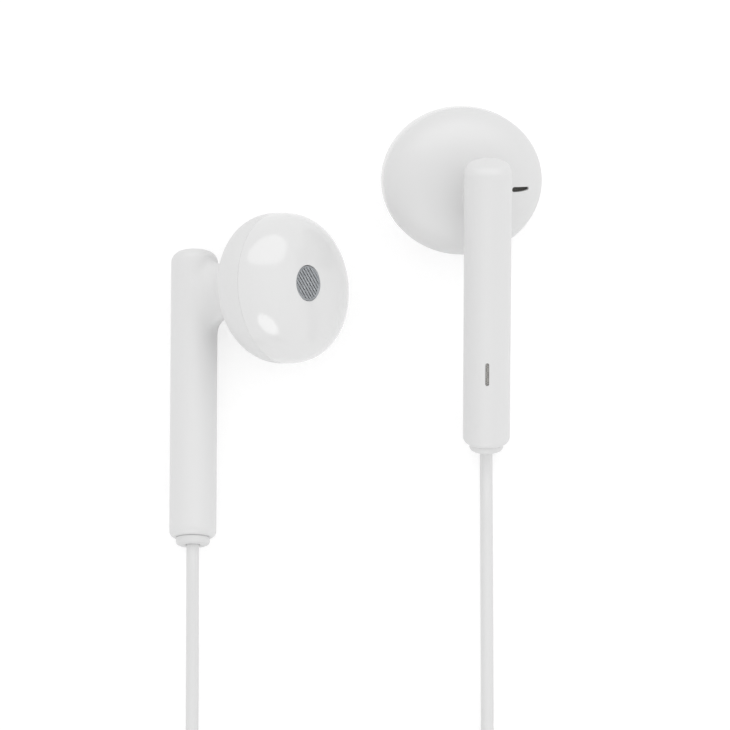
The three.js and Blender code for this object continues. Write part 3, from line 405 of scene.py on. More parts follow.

# %% [markdown]
# ### Vent meshes
#
# In each slot sits an etched mesh: dyed dark in the rear vent, left grey in the stem's port. Its holes are
# far too small to model, about 0.1 mm, so a chequer of bumps 0.2 mm wide stands for them: a little coarser
# than the real ones, so that it shows. Its darker squares are painted shade, the dark seen through the
# holes.

# %% Dark and grey mesh


def etched_mesh(name, bare, hole):
    material, tree, place = new_finish(name)
    grid = add(tree, "ShaderNodeTexChecker", {"Vector": place, "Scale": per_metre(0.2)})
    # the hole colour is painted shade: the dark seen through the holes
    colour = add(tree, "ShaderNodeMix", {
        0: grid.outputs["Fac"], 6: linear(bare), 7: linear(hole),
    }, data_type="RGBA")
    relief = add(tree, "ShaderNodeBump", {
        "Height": grid.outputs["Fac"], "Strength": 0.3, "Distance": 0.00005,
    })
    surface = add(tree, "ShaderNodeBsdfPrincipled", {
        "Base Color": colour.outputs[2], "Metallic": 0.3, "Roughness": 0.6,
        "Normal": relief.outputs["Normal"],
    })
    add(tree, "ShaderNodeOutputMaterial", {"Surface": surface.outputs[0]})
    return material


# each mesh's bare colour, then its holes' colour, which is painted shade
dark_mesh = etched_mesh("etched_mesh_dark", "#4A4945", "#2E2D2A")
grey_mesh = etched_mesh("etched_mesh_grey", "#9D9C99", "#83817E")

# %% [markdown]
# ### Finishes inside the heads, on the board and on the plug
#
# These hardly show, but the model can be opened, so each is what it is on the real thing: grey acoustic
# cloth, which does show between the grille's wires, a pressed polyester film, enamelled copper wire,
# zinc-plated steel, a nickel-plated magnet, glass-filled nylon, solder mask, and thin gold on the contacts.

# %% Acoustic cloth
cloth, tree, place = new_finish("woven_acoustic_cloth")
fibres = add(tree, "ShaderNodeTexNoise", {"Vector": place, "Scale": per_metre(0.08), "Detail": 4.0})
colour = add(tree, "ShaderNodeMix", {
    0: fibres.outputs["Fac"], 6: linear("#A8A3A4"), 7: linear("#C2BDBE"),
}, data_type="RGBA")
nap = add(tree, "ShaderNodeBump", {"Height": fibres.outputs["Fac"], "Strength": 0.5, "Distance": 0.00005})
surface = add(tree, "ShaderNodeBsdfPrincipled", {
    "Base Color": colour.outputs[2], "Roughness": 0.9, "Sheen Weight": 0.2, "Normal": nap.outputs["Normal"],
})
add(tree, "ShaderNodeOutputMaterial", {"Surface": surface.outputs[0]})

# %% Plain inner finishes: colour, how metallic, how rough, the grain of its roughness in millimetres
INNER_FINISHES = {
    "film": ("pressed_polyester_film", "#C9C4B4", 0.0, 0.35, 1.0),
    "copper": ("enamelled_copper_wire", "#B06A3C", 1.0, 0.35, 0.1),
    "steel": ("zinc_plated_steel", "#B4B6B8", 1.0, 0.4, 0.5),
    "magnet": ("nickel_plated_magnet", "#A5A5A2", 1.0, 0.25, 0.8),
    "basket": ("glass_filled_nylon", "#55575A", 0.0, 0.55, 0.3),
    "board": ("green_solder_mask", "#2F5D45", 0.0, 0.4, 0.6),
    "plated": ("gold_plated_brass", "#D9BF86", 1.0, 0.22, 0.4),
    "insulator": ("moulded_acetal", "#DADADA", 0.0, 0.45, 0.5),
    "tie": ("moulded_silicone_strap", "#D6D6D3", 0.0, 0.7, 0.3),
}


def inner_finish(name, colour, metallic, roughness, grain, spread=0.08):
    material, tree, place = new_finish(name)
    noise = add(tree, "ShaderNodeTexNoise", {"Vector": place, "Scale": per_metre(grain), "Detail": 3.0})
    gloss = add(tree, "ShaderNodeMapRange", {
        "Value": noise.outputs["Fac"], "To Min": roughness - spread, "To Max": roughness + spread,
    })
    relief = add(tree, "ShaderNodeBump", {
        "Height": noise.outputs["Fac"], "Strength": 0.1, "Distance": 0.00003,
    })
    surface = add(tree, "ShaderNodeBsdfPrincipled", {
        "Base Color": linear(colour), "Metallic": metallic, "Roughness": gloss.outputs["Result"],
        "Normal": relief.outputs["Normal"],
    })
    add(tree, "ShaderNodeOutputMaterial", {"Surface": surface.outputs[0]})
    return material


finishes = {slot: inner_finish(*values) for slot, values in INNER_FINISHES.items()}
finishes |= {
    "gloss_white": abs_gloss, "satin_white": elastomer, "cord": sheath, "steel_mesh": stainless,
    "dark_mesh": dark_mesh, "grey_mesh": grey_mesh, "cloth": cloth,
}
print("finishes:", ", ".join(sorted(finishes)))

# %% [markdown]
# Every CAD node gets the finish of its slot in the record. The nodes that show are replaced by finer
# pieces below, and those that stay hidden keep their CAD shape.

# %% Give every CAD node its finish
for row in frame["record"]["subparts"]:
    node = frame["nodes"][row["node"]]
    node.data.materials.clear()
    node.data.materials.append(finishes[row["material_slot"]])

# %% [markdown]
# ## Where the pieces sit
#
# Each earpiece is modelled upright, in millimetres: its stem's top at the origin, the stem down -Y and the
# face towards +Z. One matrix lays it on the table. The left one is the right one's mirror image, so `side`
# is 1 for the right ear and -1 for the left, and turns up wherever something isn't symmetrical.

# %% Placing matrices
BODY = "earphones"
SCALE = Matrix.Scale(MM, 4)


def moved(x, y, z):
    return Matrix.Translation((x, y, z))


def turned(axis, degrees):
    return Matrix.Rotation(math.radians(degrees), 4, axis)


SIDES = {"right": 1, "left": -1}
EAR_PLACE = {
    "right": moved(CORD_X, 9.09, RIGHT_STEM_AXIS) @ turned("Y", 57.8),
    "left": moved(LEFT_CORD_X, 14.92, 19.506) @ turned("X", 32.3) @ turned("Y", 194.6),
}
HEAD_ACROSS, HEAD_ALONG = 9.0, 8.25  # half the seam's oval, across the stem and along it
HEAD_RISE = 11.58  # of the seam's middle, over the stem's axis
HEAD_PLACE = {
    name: moved(side * 0.23, -5.67, HEAD_RISE) @ turned("X", 5.8) @ turned("Z", -7.4 * side)
    for name, side in SIDES.items()
}

# %% [markdown]
# ## Making and finishing a piece
#
# A piece is built in its own upright frame and then moved, in its mesh, to its place: the object itself
# stays at the origin. `settle` does that, gives it its finish and lets it ride on the set's body.

# %% Piece helpers


def mesh_object(name, mesh):
    piece = bpy.data.objects.new(name, mesh)
    bpy.context.scene.collection.objects.link(piece)
    return piece


def smooth(mesh, degrees=35):
    mesh.shade_smooth()
    mesh.set_sharp_from_angle(angle=math.radians(degrees))


def settle(piece, place, slot, node, body=BODY):
    """Moves a piece made in millimetres to its place, gives it its slot's finish, hangs it on the body and
    hides the node that it replaces.
    """
    piece.data.transform(SCALE @ place)
    smooth(piece.data)
    piece.data.materials.clear()
    piece.data.materials.append(finishes[slot])
    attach(piece, body)
    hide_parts(node)
    print(f"{piece.name}: {len(piece.data.polygons)} faces")
    return piece


def from_bmesh(name, work):
    bmesh.ops.remove_doubles(work, verts=work.verts, dist=1e-4)
    bmesh.ops.recalc_face_normals(work, faces=work.faces)
    mesh = bpy.data.meshes.new(name)
    work.to_mesh(mesh)
    work.free()
    return mesh_object(name, mesh)


def merged_copy(node, into):
    """A CAD node's mesh in another frame, with its corners welded."""
    work = bmesh.new()
    work.from_mesh(frame["nodes"][node].data)
    bmesh.ops.transform(work, matrix=into, verts=work.verts)
    bmesh.ops.remove_doubles(work, verts=work.verts, dist=1e-3)
    return work


def prism(name, outline, low, high):
    """The solid over an outline, between two heights."""
    work = bmesh.new()
    floor = work.faces.new([work.verts.new((x, y, low)) for x, y in outline])
    grown = bmesh.ops.extrude_face_region(work, geom=[floor])
    top = [v for v in grown["geom"] if isinstance(v, bmesh.types.BMVert)]
    bmesh.ops.translate(work, verts=top, vec=(0, 0, high - low))
    return from_bmesh(name, work)


def lathe(name, profile, segments=96, along=1.0):
    """Turns a profile of (radius, height) about Z. It starts and ends on the axis, or is a closed loop."""
    work = bmesh.new()
    if profile[0][0] > 1e-6:
        profile = [*profile, profile[0]]
    rings = []
    for radius, height in profile:
        if radius < 1e-6:
            rings.append([work.verts.new((0, 0, height))] * segments)
            continue
        ring = []
        for i in range(segments):
            angle = 2 * math.pi * i / segments
            x, y = radius * math.cos(angle), along * radius * math.sin(angle)
            ring.append(work.verts.new((x, y, height)))
        rings.append(ring)
    for low, high in zip(rings, rings[1:]):
        for i in range(segments):
            j = (i + 1) % segments
            corners = list(dict.fromkeys([low[i], low[j], high[j], high[i]]))
            if len(corners) > 2:
                work.faces.new(corners)
    return from_bmesh(name, work)


def apply_modifiers(piece):
    seen = piece.evaluated_get(bpy.context.evaluated_depsgraph_get())
    done = bpy.data.meshes.new_from_object(seen)
    piece.modifiers.clear()
    piece.data = done


def carve(piece, cutter):
    """Cuts one closed mesh out of another, and removes the cutter."""
    cut = piece.modifiers.new("carve", "BOOLEAN")
    cut.object, cut.operation, cut.solver = cutter, "DIFFERENCE", "EXACT"
    apply_modifiers(piece)
    bpy.data.objects.remove(cutter)


def soften_edges(piece, width, degrees=25, segments=3):
    """Rounds every edge where two faces turn by more than this many degrees."""
    soften = piece.modifiers.new("edge", "BEVEL")
    soften.width, soften.segments = width, segments
    soften.limit_method, soften.angle_limit = "ANGLE", math.radians(degrees)
    apply_modifiers(piece)


# %% [markdown]
# ## Front shell
#
# The face is a low, full dome. Its section is a superellipse: rounder than a sphere at the rim and flatter
# on top, which is what spreads the broad soft highlights in the photograph. It is oval, wider across the
# stem than along it, so the turned dome is squeezed one way. The outlet is a stepped hole, square to the
# dome, that the grille drops into.

# %% Dome and outlet
FRONT_DEPTH, FRONT_FULLNESS = 5.6, 2.6
REAR_DEPTH, REAR_FULLNESS = 5.55, 2.4
SEAM = 0.004  # half the gap between the shells
EDGE = 0.018  # how much of each shell's edge is broken


def dome_height(across, along, depth, fullness):
    out = math.hypot(across / HEAD_ACROSS, along / HEAD_ALONG)
    return depth * (1 - out**fullness) ** (1 / fullness)


def dome_profile(radius, depth, fullness, steps):
    points = []
    for i in range(steps):
        angle = math.pi / 2 * i / steps
        out, up = math.cos(angle) ** (2 / fullness), math.sin(angle) ** (2 / fullness)
        points.append((radius * out, depth * up))
    return points + [(0, depth)]


OUTLET_ASIDE, OUTLET_ALONG, OUTLET_LEAN = -3.0, -0.6, -11
OUTLET_HEIGHT = dome_height(OUTLET_ASIDE, OUTLET_ALONG, FRONT_DEPTH, FRONT_FULLNESS)
OUTLET_PLACE = {
    name: moved(OUTLET_ASIDE * side, OUTLET_ALONG, OUTLET_HEIGHT) @ turned("Y", OUTLET_LEAN * side)
    for name, side in SIDES.items()
}
GRILLE_RADIUS, GRILLE_ROOM = 1.95, 0.05
LEDGE_RADIUS, LEDGE_DEPTH, OUTLET_DEPTH = 1.6, 0.45, 1.0  # the grille lies on the ledge


def front_shell(name):
    rim = [(0, SEAM), (HEAD_ACROSS - EDGE, SEAM)]
    dome = [(r, max(h, SEAM + EDGE)) for r, h in dome_profile(HEAD_ACROSS, FRONT_DEPTH, FRONT_FULLNESS, 40)]
    shell = lathe(f"{name}_face", rim + dome, 128, HEAD_ALONG / HEAD_ACROSS)
    wide = GRILLE_RADIUS + GRILLE_ROOM
    outlet = [
        (0, -OUTLET_DEPTH), (LEDGE_RADIUS, -OUTLET_DEPTH), (LEDGE_RADIUS, -LEDGE_DEPTH),
        (wide, -LEDGE_DEPTH), (wide, 1), (0, 1),
    ]
    cutter = lathe("outlet_cutter", outlet, 64)
    cutter.data.transform(OUTLET_PLACE[name])
    carve(shell, cutter)
    settle(shell, EAR_PLACE[name] @ HEAD_PLACE[name], "gloss_white", f"{name}_front_shell")


for name in SIDES:
    front_shell(name)

# %% [markdown]
# ## Woven grille
#
# The grille is woven from stout wires, which show as diagonal ribs, and thin ones that bind them. A wire's
# height follows a cosine along it, and the stout ones hardly bend, while the binders lie lower and show
# only between the ribs. The real weave is finer, about 0.2 mm from rib to rib: it is drawn at 0.38 mm, so
# that the ribs show. Geometry Nodes repeat one wire across the disc, wave it, trim it to the disc and give
# it thickness. The same tree makes the crossing wires, and a ring of stout wire that holds their ends.

# %% Geometry Nodes tree of a weave
WEAVE = {"Radius": GRILLE_RADIUS, "Pitch": 0.38, "Wire": 0.25, "Binder": 0.07}
RIB_SWAY, RIB_LEVEL = 0.06, 0.0  # how far a wire swings up and down, and the height of its middle, both
BINDER_SWAY, BINDER_LEVEL = -0.4, -0.45  # as shares of the height between two crossing wires' middles
POINTS_A_RIB = 6  # along each wire


def weave_tree():
    tree = bpy.data.node_groups.new("woven_wire_disc", "GeometryNodeTree")
    sockets = {}
    for label in (*WEAVE, "Finish"):
        kind = "NodeSocketMaterial" if label == "Finish" else "NodeSocketFloat"
        sockets[label] = tree.interface.new_socket(label, in_out="INPUT", socket_type=kind).identifier
    tree.interface.new_socket("Geometry", in_out="OUTPUT", socket_type="NodeSocketGeometry")
    sizes = add(tree, "NodeGroupInput").outputs

    # How many wires lie on each side of the middle, and how far out the last one is
    ribs = add(tree, "ShaderNodeMath", {0: sizes["Radius"], 1: sizes["Pitch"]}, operation="DIVIDE")
    ribs = add(tree, "ShaderNodeMath", {0: ribs.outputs[0]}, operation="CEIL").outputs[0]
    half = add(tree, "ShaderNodeMath", {0: ribs, 1: sizes["Pitch"]}, operation="MULTIPLY").outputs[0]
    wires = add(tree, "ShaderNodeMath", {0: ribs, 1: 2.0, 2: 1.0}, operation="MULTIPLY_ADD").outputs[0]
    points = add(tree, "ShaderNodeMath", {0: wires, 1: POINTS_A_RIB, 2: 1.0}, operation="MULTIPLY_ADD")

    # One straight wire, and a row of them
    low = add(tree, "ShaderNodeVectorMath", {0: (-1.0, 0.0, 0.0), "Scale": half}, operation="SCALE")
    high = add(tree, "ShaderNodeVectorMath", {0: (1.0, 0.0, 0.0), "Scale": half}, operation="SCALE")
    one_wire = add(tree, "GeometryNodeCurvePrimitiveLine", {"Start": low.outputs[0], "End": high.outputs[0]})
    fine = add(tree, "GeometryNodeResampleCurve", {
        "Curve": one_wire.outputs["Curve"], "Count": points.outputs[0],
    })
    first = add(tree, "ShaderNodeVectorMath", {0: (0.0, -1.0, 0.0), "Scale": half}, operation="SCALE")
    step = add(tree, "ShaderNodeCombineXYZ", {"Y": sizes["Pitch"]})
    rows = add(tree, "GeometryNodeMeshLine", {
        "Count": wires, "Start Location": first.outputs[0], "Offset": step.outputs[0],
    })
    placed = add(tree, "GeometryNodeInstanceOnPoints", {
        "Points": rows.outputs["Mesh"], "Instance": fine.outputs["Curve"],
    })
    warp = add(tree, "GeometryNodeRealizeInstances", {"Geometry": placed.outputs["Instances"]}).outputs[0]
    weft = add(tree, "GeometryNodeTransform", {
        "Geometry": warp, "Rotation": (0.0, 0.0, math.pi / 2),
    }).outputs["Geometry"]

    # Where a wire goes over and where it goes under, and what lies outside the disc
    here = add(tree, "GeometryNodeInputPosition").outputs[0]
    turn = add(tree, "ShaderNodeVectorMath", {0: here, 1: (math.pi, math.pi, 0.0)}, operation="DOT_PRODUCT")
    turn = add(tree, "ShaderNodeMath", {0: turn.outputs["Value"], 1: sizes["Pitch"]}, operation="DIVIDE")
    wave = add(tree, "ShaderNodeMath", {0: turn.outputs[0]}, operation="COSINE").outputs[0]
    flat = add(tree, "ShaderNodeVectorMath", {0: here, 1: (1.0, 1.0, 0.0)}, operation="MULTIPLY").outputs[0]
    out = add(tree, "ShaderNodeVectorMath", {0: flat}, operation="LENGTH").outputs["Value"]
    rim_radius = add(tree, "ShaderNodeMath", {
        0: sizes["Wire"], 1: -0.5, 2: sizes["Radius"],
    }, operation="MULTIPLY_ADD").outputs[0]
    outside = add(tree, "FunctionNodeCompare", {0: out, 1: rim_radius}, operation="GREATER_THAN").outputs[0]
    between = add(tree, "ShaderNodeMath", {0: sizes["Wire"], 1: sizes["Binder"]}, operation="ADD").outputs[0]
    between = add(tree, "ShaderNodeMath", {0: between, 1: 0.5}, operation="MULTIPLY").outputs[0]
    both = add(tree, "GeometryNodeJoinGeometry")

    def thickened(curve, width):
        radius = add(tree, "ShaderNodeMath", {0: width, 1: 0.5}, operation="MULTIPLY").outputs[0]
        section = add(tree, "GeometryNodeCurvePrimitiveCircle", {"Resolution": 6, "Radius": radius})
        thick = add(tree, "GeometryNodeCurveToMesh", {
            "Curve": curve, "Profile Curve": section.outputs["Curve"], "Fill Caps": True,
        })
        tree.links.new(thick.outputs["Mesh"], both.inputs["Geometry"])

    ribs_and_binders = (
        (warp, sizes["Wire"], RIB_SWAY, RIB_LEVEL),
        (weft, sizes["Binder"], BINDER_SWAY, BINDER_LEVEL),
    )
    for threads, width, sway, level in ribs_and_binders:
        share = add(tree, "ShaderNodeMath", {0: wave, 1: sway, 2: level}, operation="MULTIPLY_ADD")
        height = add(tree, "ShaderNodeMath", {0: between, 1: share.outputs[0]}, operation="MULTIPLY")
        rise = add(tree, "ShaderNodeCombineXYZ", {"Z": height.outputs[0]}).outputs[0]
        waved = add(tree, "GeometryNodeSetPosition", {"Geometry": threads, "Offset": rise})
        trimmed = add(tree, "GeometryNodeDeleteGeometry", {
            "Geometry": waved.outputs["Geometry"], "Selection": outside,
        }, domain="POINT")
        thickened(trimmed.outputs["Geometry"], width)
    rim = add(tree, "GeometryNodeCurvePrimitiveCircle", {"Resolution": 96, "Radius": rim_radius})
    thickened(rim.outputs["Curve"], sizes["Wire"])
    whole = add(tree, "GeometryNodeRealizeInstances", {"Geometry": both.outputs["Geometry"]})
    finished = add(tree, "GeometryNodeSetMaterial", {
        "Geometry": whole.outputs["Geometry"], "Material": sizes["Finish"],
    })
    add(tree, "NodeGroupOutput", {"Geometry": finished.outputs["Geometry"]})
    return tree, sockets


woven_disc, weave_sockets = weave_tree()
print("weave:", len(woven_disc.nodes), "nodes")

# %% One grille in each outlet
RIB_TURN = -36  # degrees, from across the stem
GRILLE_SINK = 0.2


def woven_grille(name):
    seed = mesh_object(f"{name}_grille", bpy.data.meshes.new("grille_seed"))
    weave = seed.modifiers.new("weave", "NODES")
    weave.node_group = woven_disc
    for label, value in {**WEAVE, "Finish": stainless}.items():
        weave[weave_sockets[label]] = value
    apply_modifiers(seed)
    place = EAR_PLACE[name] @ HEAD_PLACE[name] @ OUTLET_PLACE[name]
    place = place @ moved(0, 0, -GRILLE_SINK) @ turned("Z", RIB_TURN * SIDES[name])
    settle(seed, place, "steel_mesh", f"{name}_outlet_grille")


for name in SIDES:
    woven_grille(name)

# %% [markdown]
# ## Rear housing
#
# Bowl, neck and stem are one moulding, and they flow into each other with small fillets. That shape has no
# simple profile, but it is easy to say how far a point is from it: a distance to the bowl, one to the stem
# and one to the neck, joined by a smooth minimum that rounds the inner corners. A coarse voxel mesh gives
# the surface its points, and each point is then slid along the distance's slope until it lies exactly on
# the moulding. The mesh stays even, and no facet of the CAD model shows.

# %% Distances to the bowl, the stem and the neck, in millimetres
STEM_RADIUS, STEM_LENGTH = 2.6, 32.55
TOP_ROUNDING, END_ROUNDING = 1.3, 0.7
NECK_TOP, NECK_TOP_AT_BOWL, NECK_BOTTOM = 1.7, 2.3, 8.25
NECK_FILLETS = 0.8, 2.0  # where it leaves the stem, at its top and at its bottom
BOWL_FILLET = 0.5
NECK_AT_STEM, NECK_AT_BOWL = 1.45, 0.8  # half the web's thickness
NECK_FULLNESS = 2.5
NECK_FROM, NECK_TO = 1.6, 8.5  # it starts inside the stem and ends inside the bowl
BOWL_BACK = HEAD_RISE - REAR_DEPTH
BOWL_SPARE = 1.0  # the bowl is made this much too high, and cut at the seam


def superellipse_distance(length, norm):
    """Roughly how far outside a superellipse a point is: its own length less the surface's that way."""
    return length * (1 - 1 / np.maximum(norm, 1e-6))


def bowl_distance(points, into_head):
    local = points @ np.array(into_head.to_3x3()).T + np.array(into_head.translation)
    out = np.hypot(local[:, 0] / HEAD_ACROSS, local[:, 1] / HEAD_ALONG)
    down = np.maximum(-local[:, 2], 0) / REAR_DEPTH
    norm = (out**REAR_FULLNESS + down**REAR_FULLNESS) ** (1 / REAR_FULLNESS)
    reach = np.linalg.norm(np.column_stack([local[:, :2], np.minimum(local[:, 2], 0)]), axis=1)
    return np.maximum(superellipse_distance(reach, norm), local[:, 2] - BOWL_SPARE)


def stem_distance(points):
    rounding = np.where(points[:, 1] > -STEM_LENGTH / 2, TOP_ROUNDING, END_ROUNDING)
    around = np.hypot(points[:, 0], points[:, 2]) - (STEM_RADIUS - rounding)
    along = np.abs(points[:, 1] + STEM_LENGTH / 2) - (STEM_LENGTH / 2 - rounding)
    inside = np.minimum(np.maximum(around, along), 0)
    return inside + np.hypot(np.maximum(around, 0), np.maximum(along, 0)) - rounding


def neck_distance(points):
    """A web between stem and bowl, thinner towards the bowl."""
    towards_bowl = np.clip((points[:, 2] - STEM_RADIUS) / (BOWL_BACK - STEM_RADIUS), 0, 1)
    thick = NECK_AT_STEM + (NECK_AT_BOWL - NECK_AT_STEM) * towards_bowl
    top = NECK_TOP + (NECK_TOP_AT_BOWL - NECK_TOP) * towards_bowl
    half = (NECK_BOTTOM - top) / 2
    local = np.column_stack([points[:, 0], points[:, 1] + top + half])
    parts = np.abs(local / np.column_stack([thick, half])) ** NECK_FULLNESS
    side = superellipse_distance(np.linalg.norm(local, axis=1), parts.sum(1) ** (1 / NECK_FULLNESS))
    return np.maximum(side, np.maximum(NECK_FROM - points[:, 2], points[:, 2] - NECK_TO))


def smooth_minimum(a, b, fillet):
    blend = np.clip(0.5 + 0.5 * (b - a) / fillet, 0, 1)
    return b * (1 - blend) + a * blend - fillet * blend * (1 - blend)


def housing_distance(points, into_head):
    fillet = np.interp(-points[:, 1], (NECK_TOP, NECK_BOTTOM), NECK_FILLETS)
    neck_and_stem = smooth_minimum(neck_distance(points), stem_distance(points), fillet)
    return smooth_minimum(neck_and_stem, bowl_distance(points, into_head), BOWL_FILLET)


# %% Slide a mesh onto the surface where the distance is zero


def slide_onto(mesh, distance, rounds=10, largest=0.3, small=1e-3):
    """Moves each point down the distance's slope, by at most `largest` a round. Returns the worst miss."""
    points = np.empty(len(mesh.vertices) * 3)
    mesh.vertices.foreach_get("co", points)
    points = points.reshape(-1, 3)
    for _ in range(rounds):
        slope = np.column_stack([
            (distance(points + small * step) - distance(points - small * step)) / (2 * small)
            for step in np.eye(3)
        ])
        steepness = np.maximum((slope**2).sum(1), 0.05)
        points -= np.clip(distance(points) / steepness, -largest, largest)[:, None] * slope
    mesh.vertices.foreach_set("co", points.ravel())
    mesh.update()
    return float(np.abs(distance(points)).max())


# %% Rough solids for the voxel mesh
VOXEL = 0.22


def rough_housing(name):
    dome = [(r, -h) for r, h in dome_profile(HEAD_ACROSS, REAR_DEPTH, REAR_FULLNESS, 16)]
    bowl = lathe("rough_bowl", [(0, 0.95), (HEAD_ACROSS, 0.95), *dome], 64, HEAD_ALONG / HEAD_ACROSS)
    bowl.data.transform(HEAD_PLACE[name])
    side = [(0, -STEM_LENGTH), (STEM_RADIUS, -STEM_LENGTH), (STEM_RADIUS, 0), (0, 0)]
    stem = lathe("rough_stem", side, 48)
    stem.data.transform(turned("X", -90))
    neck = lathe("rough_neck", [(0, 0), (1, 0), (1, 8), (0, 8)], 32)
    neck.data.transform(moved(0, -(NECK_TOP + NECK_BOTTOM) / 2, 0) @ Matrix.Diagonal((1.8, 3.3, 1, 1)))
    work = bmesh.new()
    for part in (bowl, stem, neck):
        work.from_mesh(part.data)
        bpy.data.objects.remove(part)
    mesh = bpy.data.meshes.new("rough_housing")
    work.to_mesh(mesh)
    work.free()
    return mesh_object(f"{name}_housing", mesh)


# %% [markdown]
# The rear vent and the stem's port are slots with round ends. Each is cut as a shallow pocket, and its mesh
# nearly fills it. The vent narrows outwards: its upper edge is straight and its lower one curves up. The
# seam is cut last, flat across the bowl, and its edge is rounded very slightly, as any moulded edge is.

# %% Cut the vent, the port and the seam
PORT_HEIGHT, PORT_TURN = 8.85, 14.6
VENT_ASIDE, VENT_ALONG = 5.48, 0.2
VENT_LENGTH, VENT_WIDTH, VENT_TAPER = 2.3, 0.58, 0.66  # the taper is the outer end's share of the width
PORT_LENGTH, PORT_WIDTH = 2.66, 0.42
MESH_CLEARANCE, MESH_THICKNESS = 0.03, 0.12
VENT_SINK, PORT_SINK = 0.22, 0.12  # how deep the meshes sit
POCKET = 0.3  # how far a slot is cut below its mesh's face


def upright_on(point, normal, along):
    """A place with Z along the normal, and Y as near as can be to `along`."""
    z = Vector(normal).normalized()
    x = Vector(along).cross(z).normalized()
    place = Matrix((x, z.cross(x), z)).transposed().to_4x4()
    place.translation = point
    return place


def vent_place(side):
    aside, depth = VENT_ASIDE * side, dome_height(VENT_ASIDE, VENT_ALONG, REAR_DEPTH, REAR_FULLNESS)
    normal = (aside / HEAD_ACROSS**2, VENT_ALONG / HEAD_ALONG**2, -depth / REAR_DEPTH**2)
    return upright_on((aside, VENT_ALONG, -depth), normal, (0, 1, 0))


def port_place(side):
    turn = math.radians(PORT_TURN)
    outward = Vector((-side * math.sin(turn), 0, -math.cos(turn)))
    return upright_on(STEM_RADIUS * outward + Vector((0, PORT_HEIGHT - STEM_LENGTH, 0)), outward, (0, 1, 0))


def slot_outline(length, width, taper=1.0, segments=12):
    """A slot's outline, long in X. Its -X end is round and full, and its +X end narrower by `taper`."""
    wide, narrow = width / 2, taper * width / 2
    left, right = wide - length / 2, length / 2 - narrow
    arc = [math.pi * i / segments for i in range(segments + 1)]
    outline = [(left - wide * math.sin(a), wide * math.cos(a)) for a in arc]
    for i in range(1, segments):
        share = i / segments
        outline.append((left + (right - left) * share, 2 * (wide - narrow) * share**2 - wide))
    return outline + [(right + narrow * math.sin(a), wide - narrow - narrow * math.cos(a)) for a in arc]


def slot_block(outline, low, high, mirrored=False):
    """The solid over a slot's outline. The right earpiece's vent is the left one's mirror image."""
    return prism("slot_block", [(-x if mirrored else x, y) for x, y in outline], low, high)


def cut_seam(piece, head_place):
    work = bmesh.new()
    work.from_mesh(piece.data)
    at = head_place @ Vector((0, 0, -SEAM))
    up = (head_place.to_3x3() @ Vector((0, 0, 1))).normalized()
    everything = work.verts[:] + work.edges[:] + work.faces[:]
    cut = bmesh.ops.bisect_plane(work, geom=everything, plane_co=at, plane_no=up, clear_outer=True)
    edges = [e for e in cut["geom_cut"] if isinstance(e, bmesh.types.BMEdge)]
    bmesh.ops.holes_fill(work, edges=edges)
    bmesh.ops.bevel(work, geom=edges, offset=EDGE, segments=2, profile=0.5, affect="EDGES")
    bmesh.ops.recalc_face_normals(work, faces=work.faces)
    mesh = bpy.data.meshes.new(piece.name)
    work.to_mesh(mesh)
    work.free()
    piece.data = mesh


def rear_housing(name):
    side, head_place = SIDES[name], HEAD_PLACE[name]
    into_head = head_place.inverted()
    housing = rough_housing(name)
    for _ in range(2):  # the second voxel mesh starts from the true shape, so it needs only small slides
        voxels = housing.modifiers.new("voxels", "REMESH")
        voxels.mode, voxels.voxel_size = "VOXEL", VOXEL
        apply_modifiers(housing)
        miss = slide_onto(housing.data, lambda points: housing_distance(points, into_head))
    vent = slot_block(slot_outline(VENT_LENGTH, VENT_WIDTH, VENT_TAPER), -VENT_SINK - POCKET, 1, side > 0)
    vent.data.transform(head_place @ vent_place(side))
    carve(housing, vent)
    port = slot_block(slot_outline(PORT_LENGTH, PORT_WIDTH), -PORT_SINK - POCKET, 1)
    port.data.transform(port_place(side) @ turned("Z", 90))
    carve(housing, port)
    cut_seam(housing, head_place)
    print(f"{name} housing: its points lie within {miss:.4f} mm of the moulding")
    settle(housing, EAR_PLACE[name], "gloss_white", f"{name}_rear_housing")
    # the satin copy, whose greyer colour is painted shade
    housing.data.materials[0] = abs_satin


for name in SIDES:
    rear_housing(name)

# %% Vent and port meshes in their slots


def slot_mesh(name, kind, outline, sink, place, slot, mirrored=False):
    plate = slot_block(outline, -sink - MESH_THICKNESS, -sink, mirrored)
    plate.name = f"{name}_{kind}"
    settle(plate, EAR_PLACE[name] @ place, slot, f"{name}_{kind}_mesh")


less = 2 * MESH_CLEARANCE
for name, side in SIDES.items():
    vent = slot_outline(VENT_LENGTH - less, VENT_WIDTH - less, VENT_TAPER)
    slot_mesh(name, "vent", vent, VENT_SINK, HEAD_PLACE[name] @ vent_place(side), "dark_mesh", side > 0)
    port = slot_outline(PORT_LENGTH - less, PORT_WIDTH - less)
    slot_mesh(name, "port", port, PORT_SINK, port_place(side) @ turned("Z", 90), "grey_mesh")

# %% [markdown]
# ## Turned pieces
#
# The grommets, the reliefs and the whole plug are round. Their CAD nodes are turned with a few sides, and
# the same profile can be turned again with many: it is read from a merged copy of the node, along one
# meridian, and goes back on the lathe.

# %% Turn a CAD node again, finer
CLOSED_GAP = 0.02  # what is left where a gap in the CAD is closed


def meridian(work):
    """The profile (radius, height) of a turned mesh whose axis is Z."""
    on_axis = {v for v in work.verts if math.hypot(v.co.x, v.co.y) < 1e-3}
    first = next(v for v in work.verts if v not in on_axis)
    angle = math.atan2(first.co.y, first.co.x)

    def chosen(v):
        off = abs(math.remainder(math.atan2(v.co.y, v.co.x) - angle, 2 * math.pi))
        return v in on_axis or off < 2e-3

    line = {
        v: [e.other_vert(v) for e in v.link_edges if chosen(e.other_vert(v))]
        for v in work.verts if chosen(v)
    }
    path = [min(line, key=lambda v: (v not in on_axis, v.co.z))]
    while True:
        ahead = [v for v in line[path[-1]] if v not in path]
        if path[-1] in on_axis and len(path) > 1 or not ahead:
            break
        path.append(ahead[0])
    return [(0.0 if v in on_axis else math.hypot(v.co.x, v.co.y), v.co.z) for v in path]


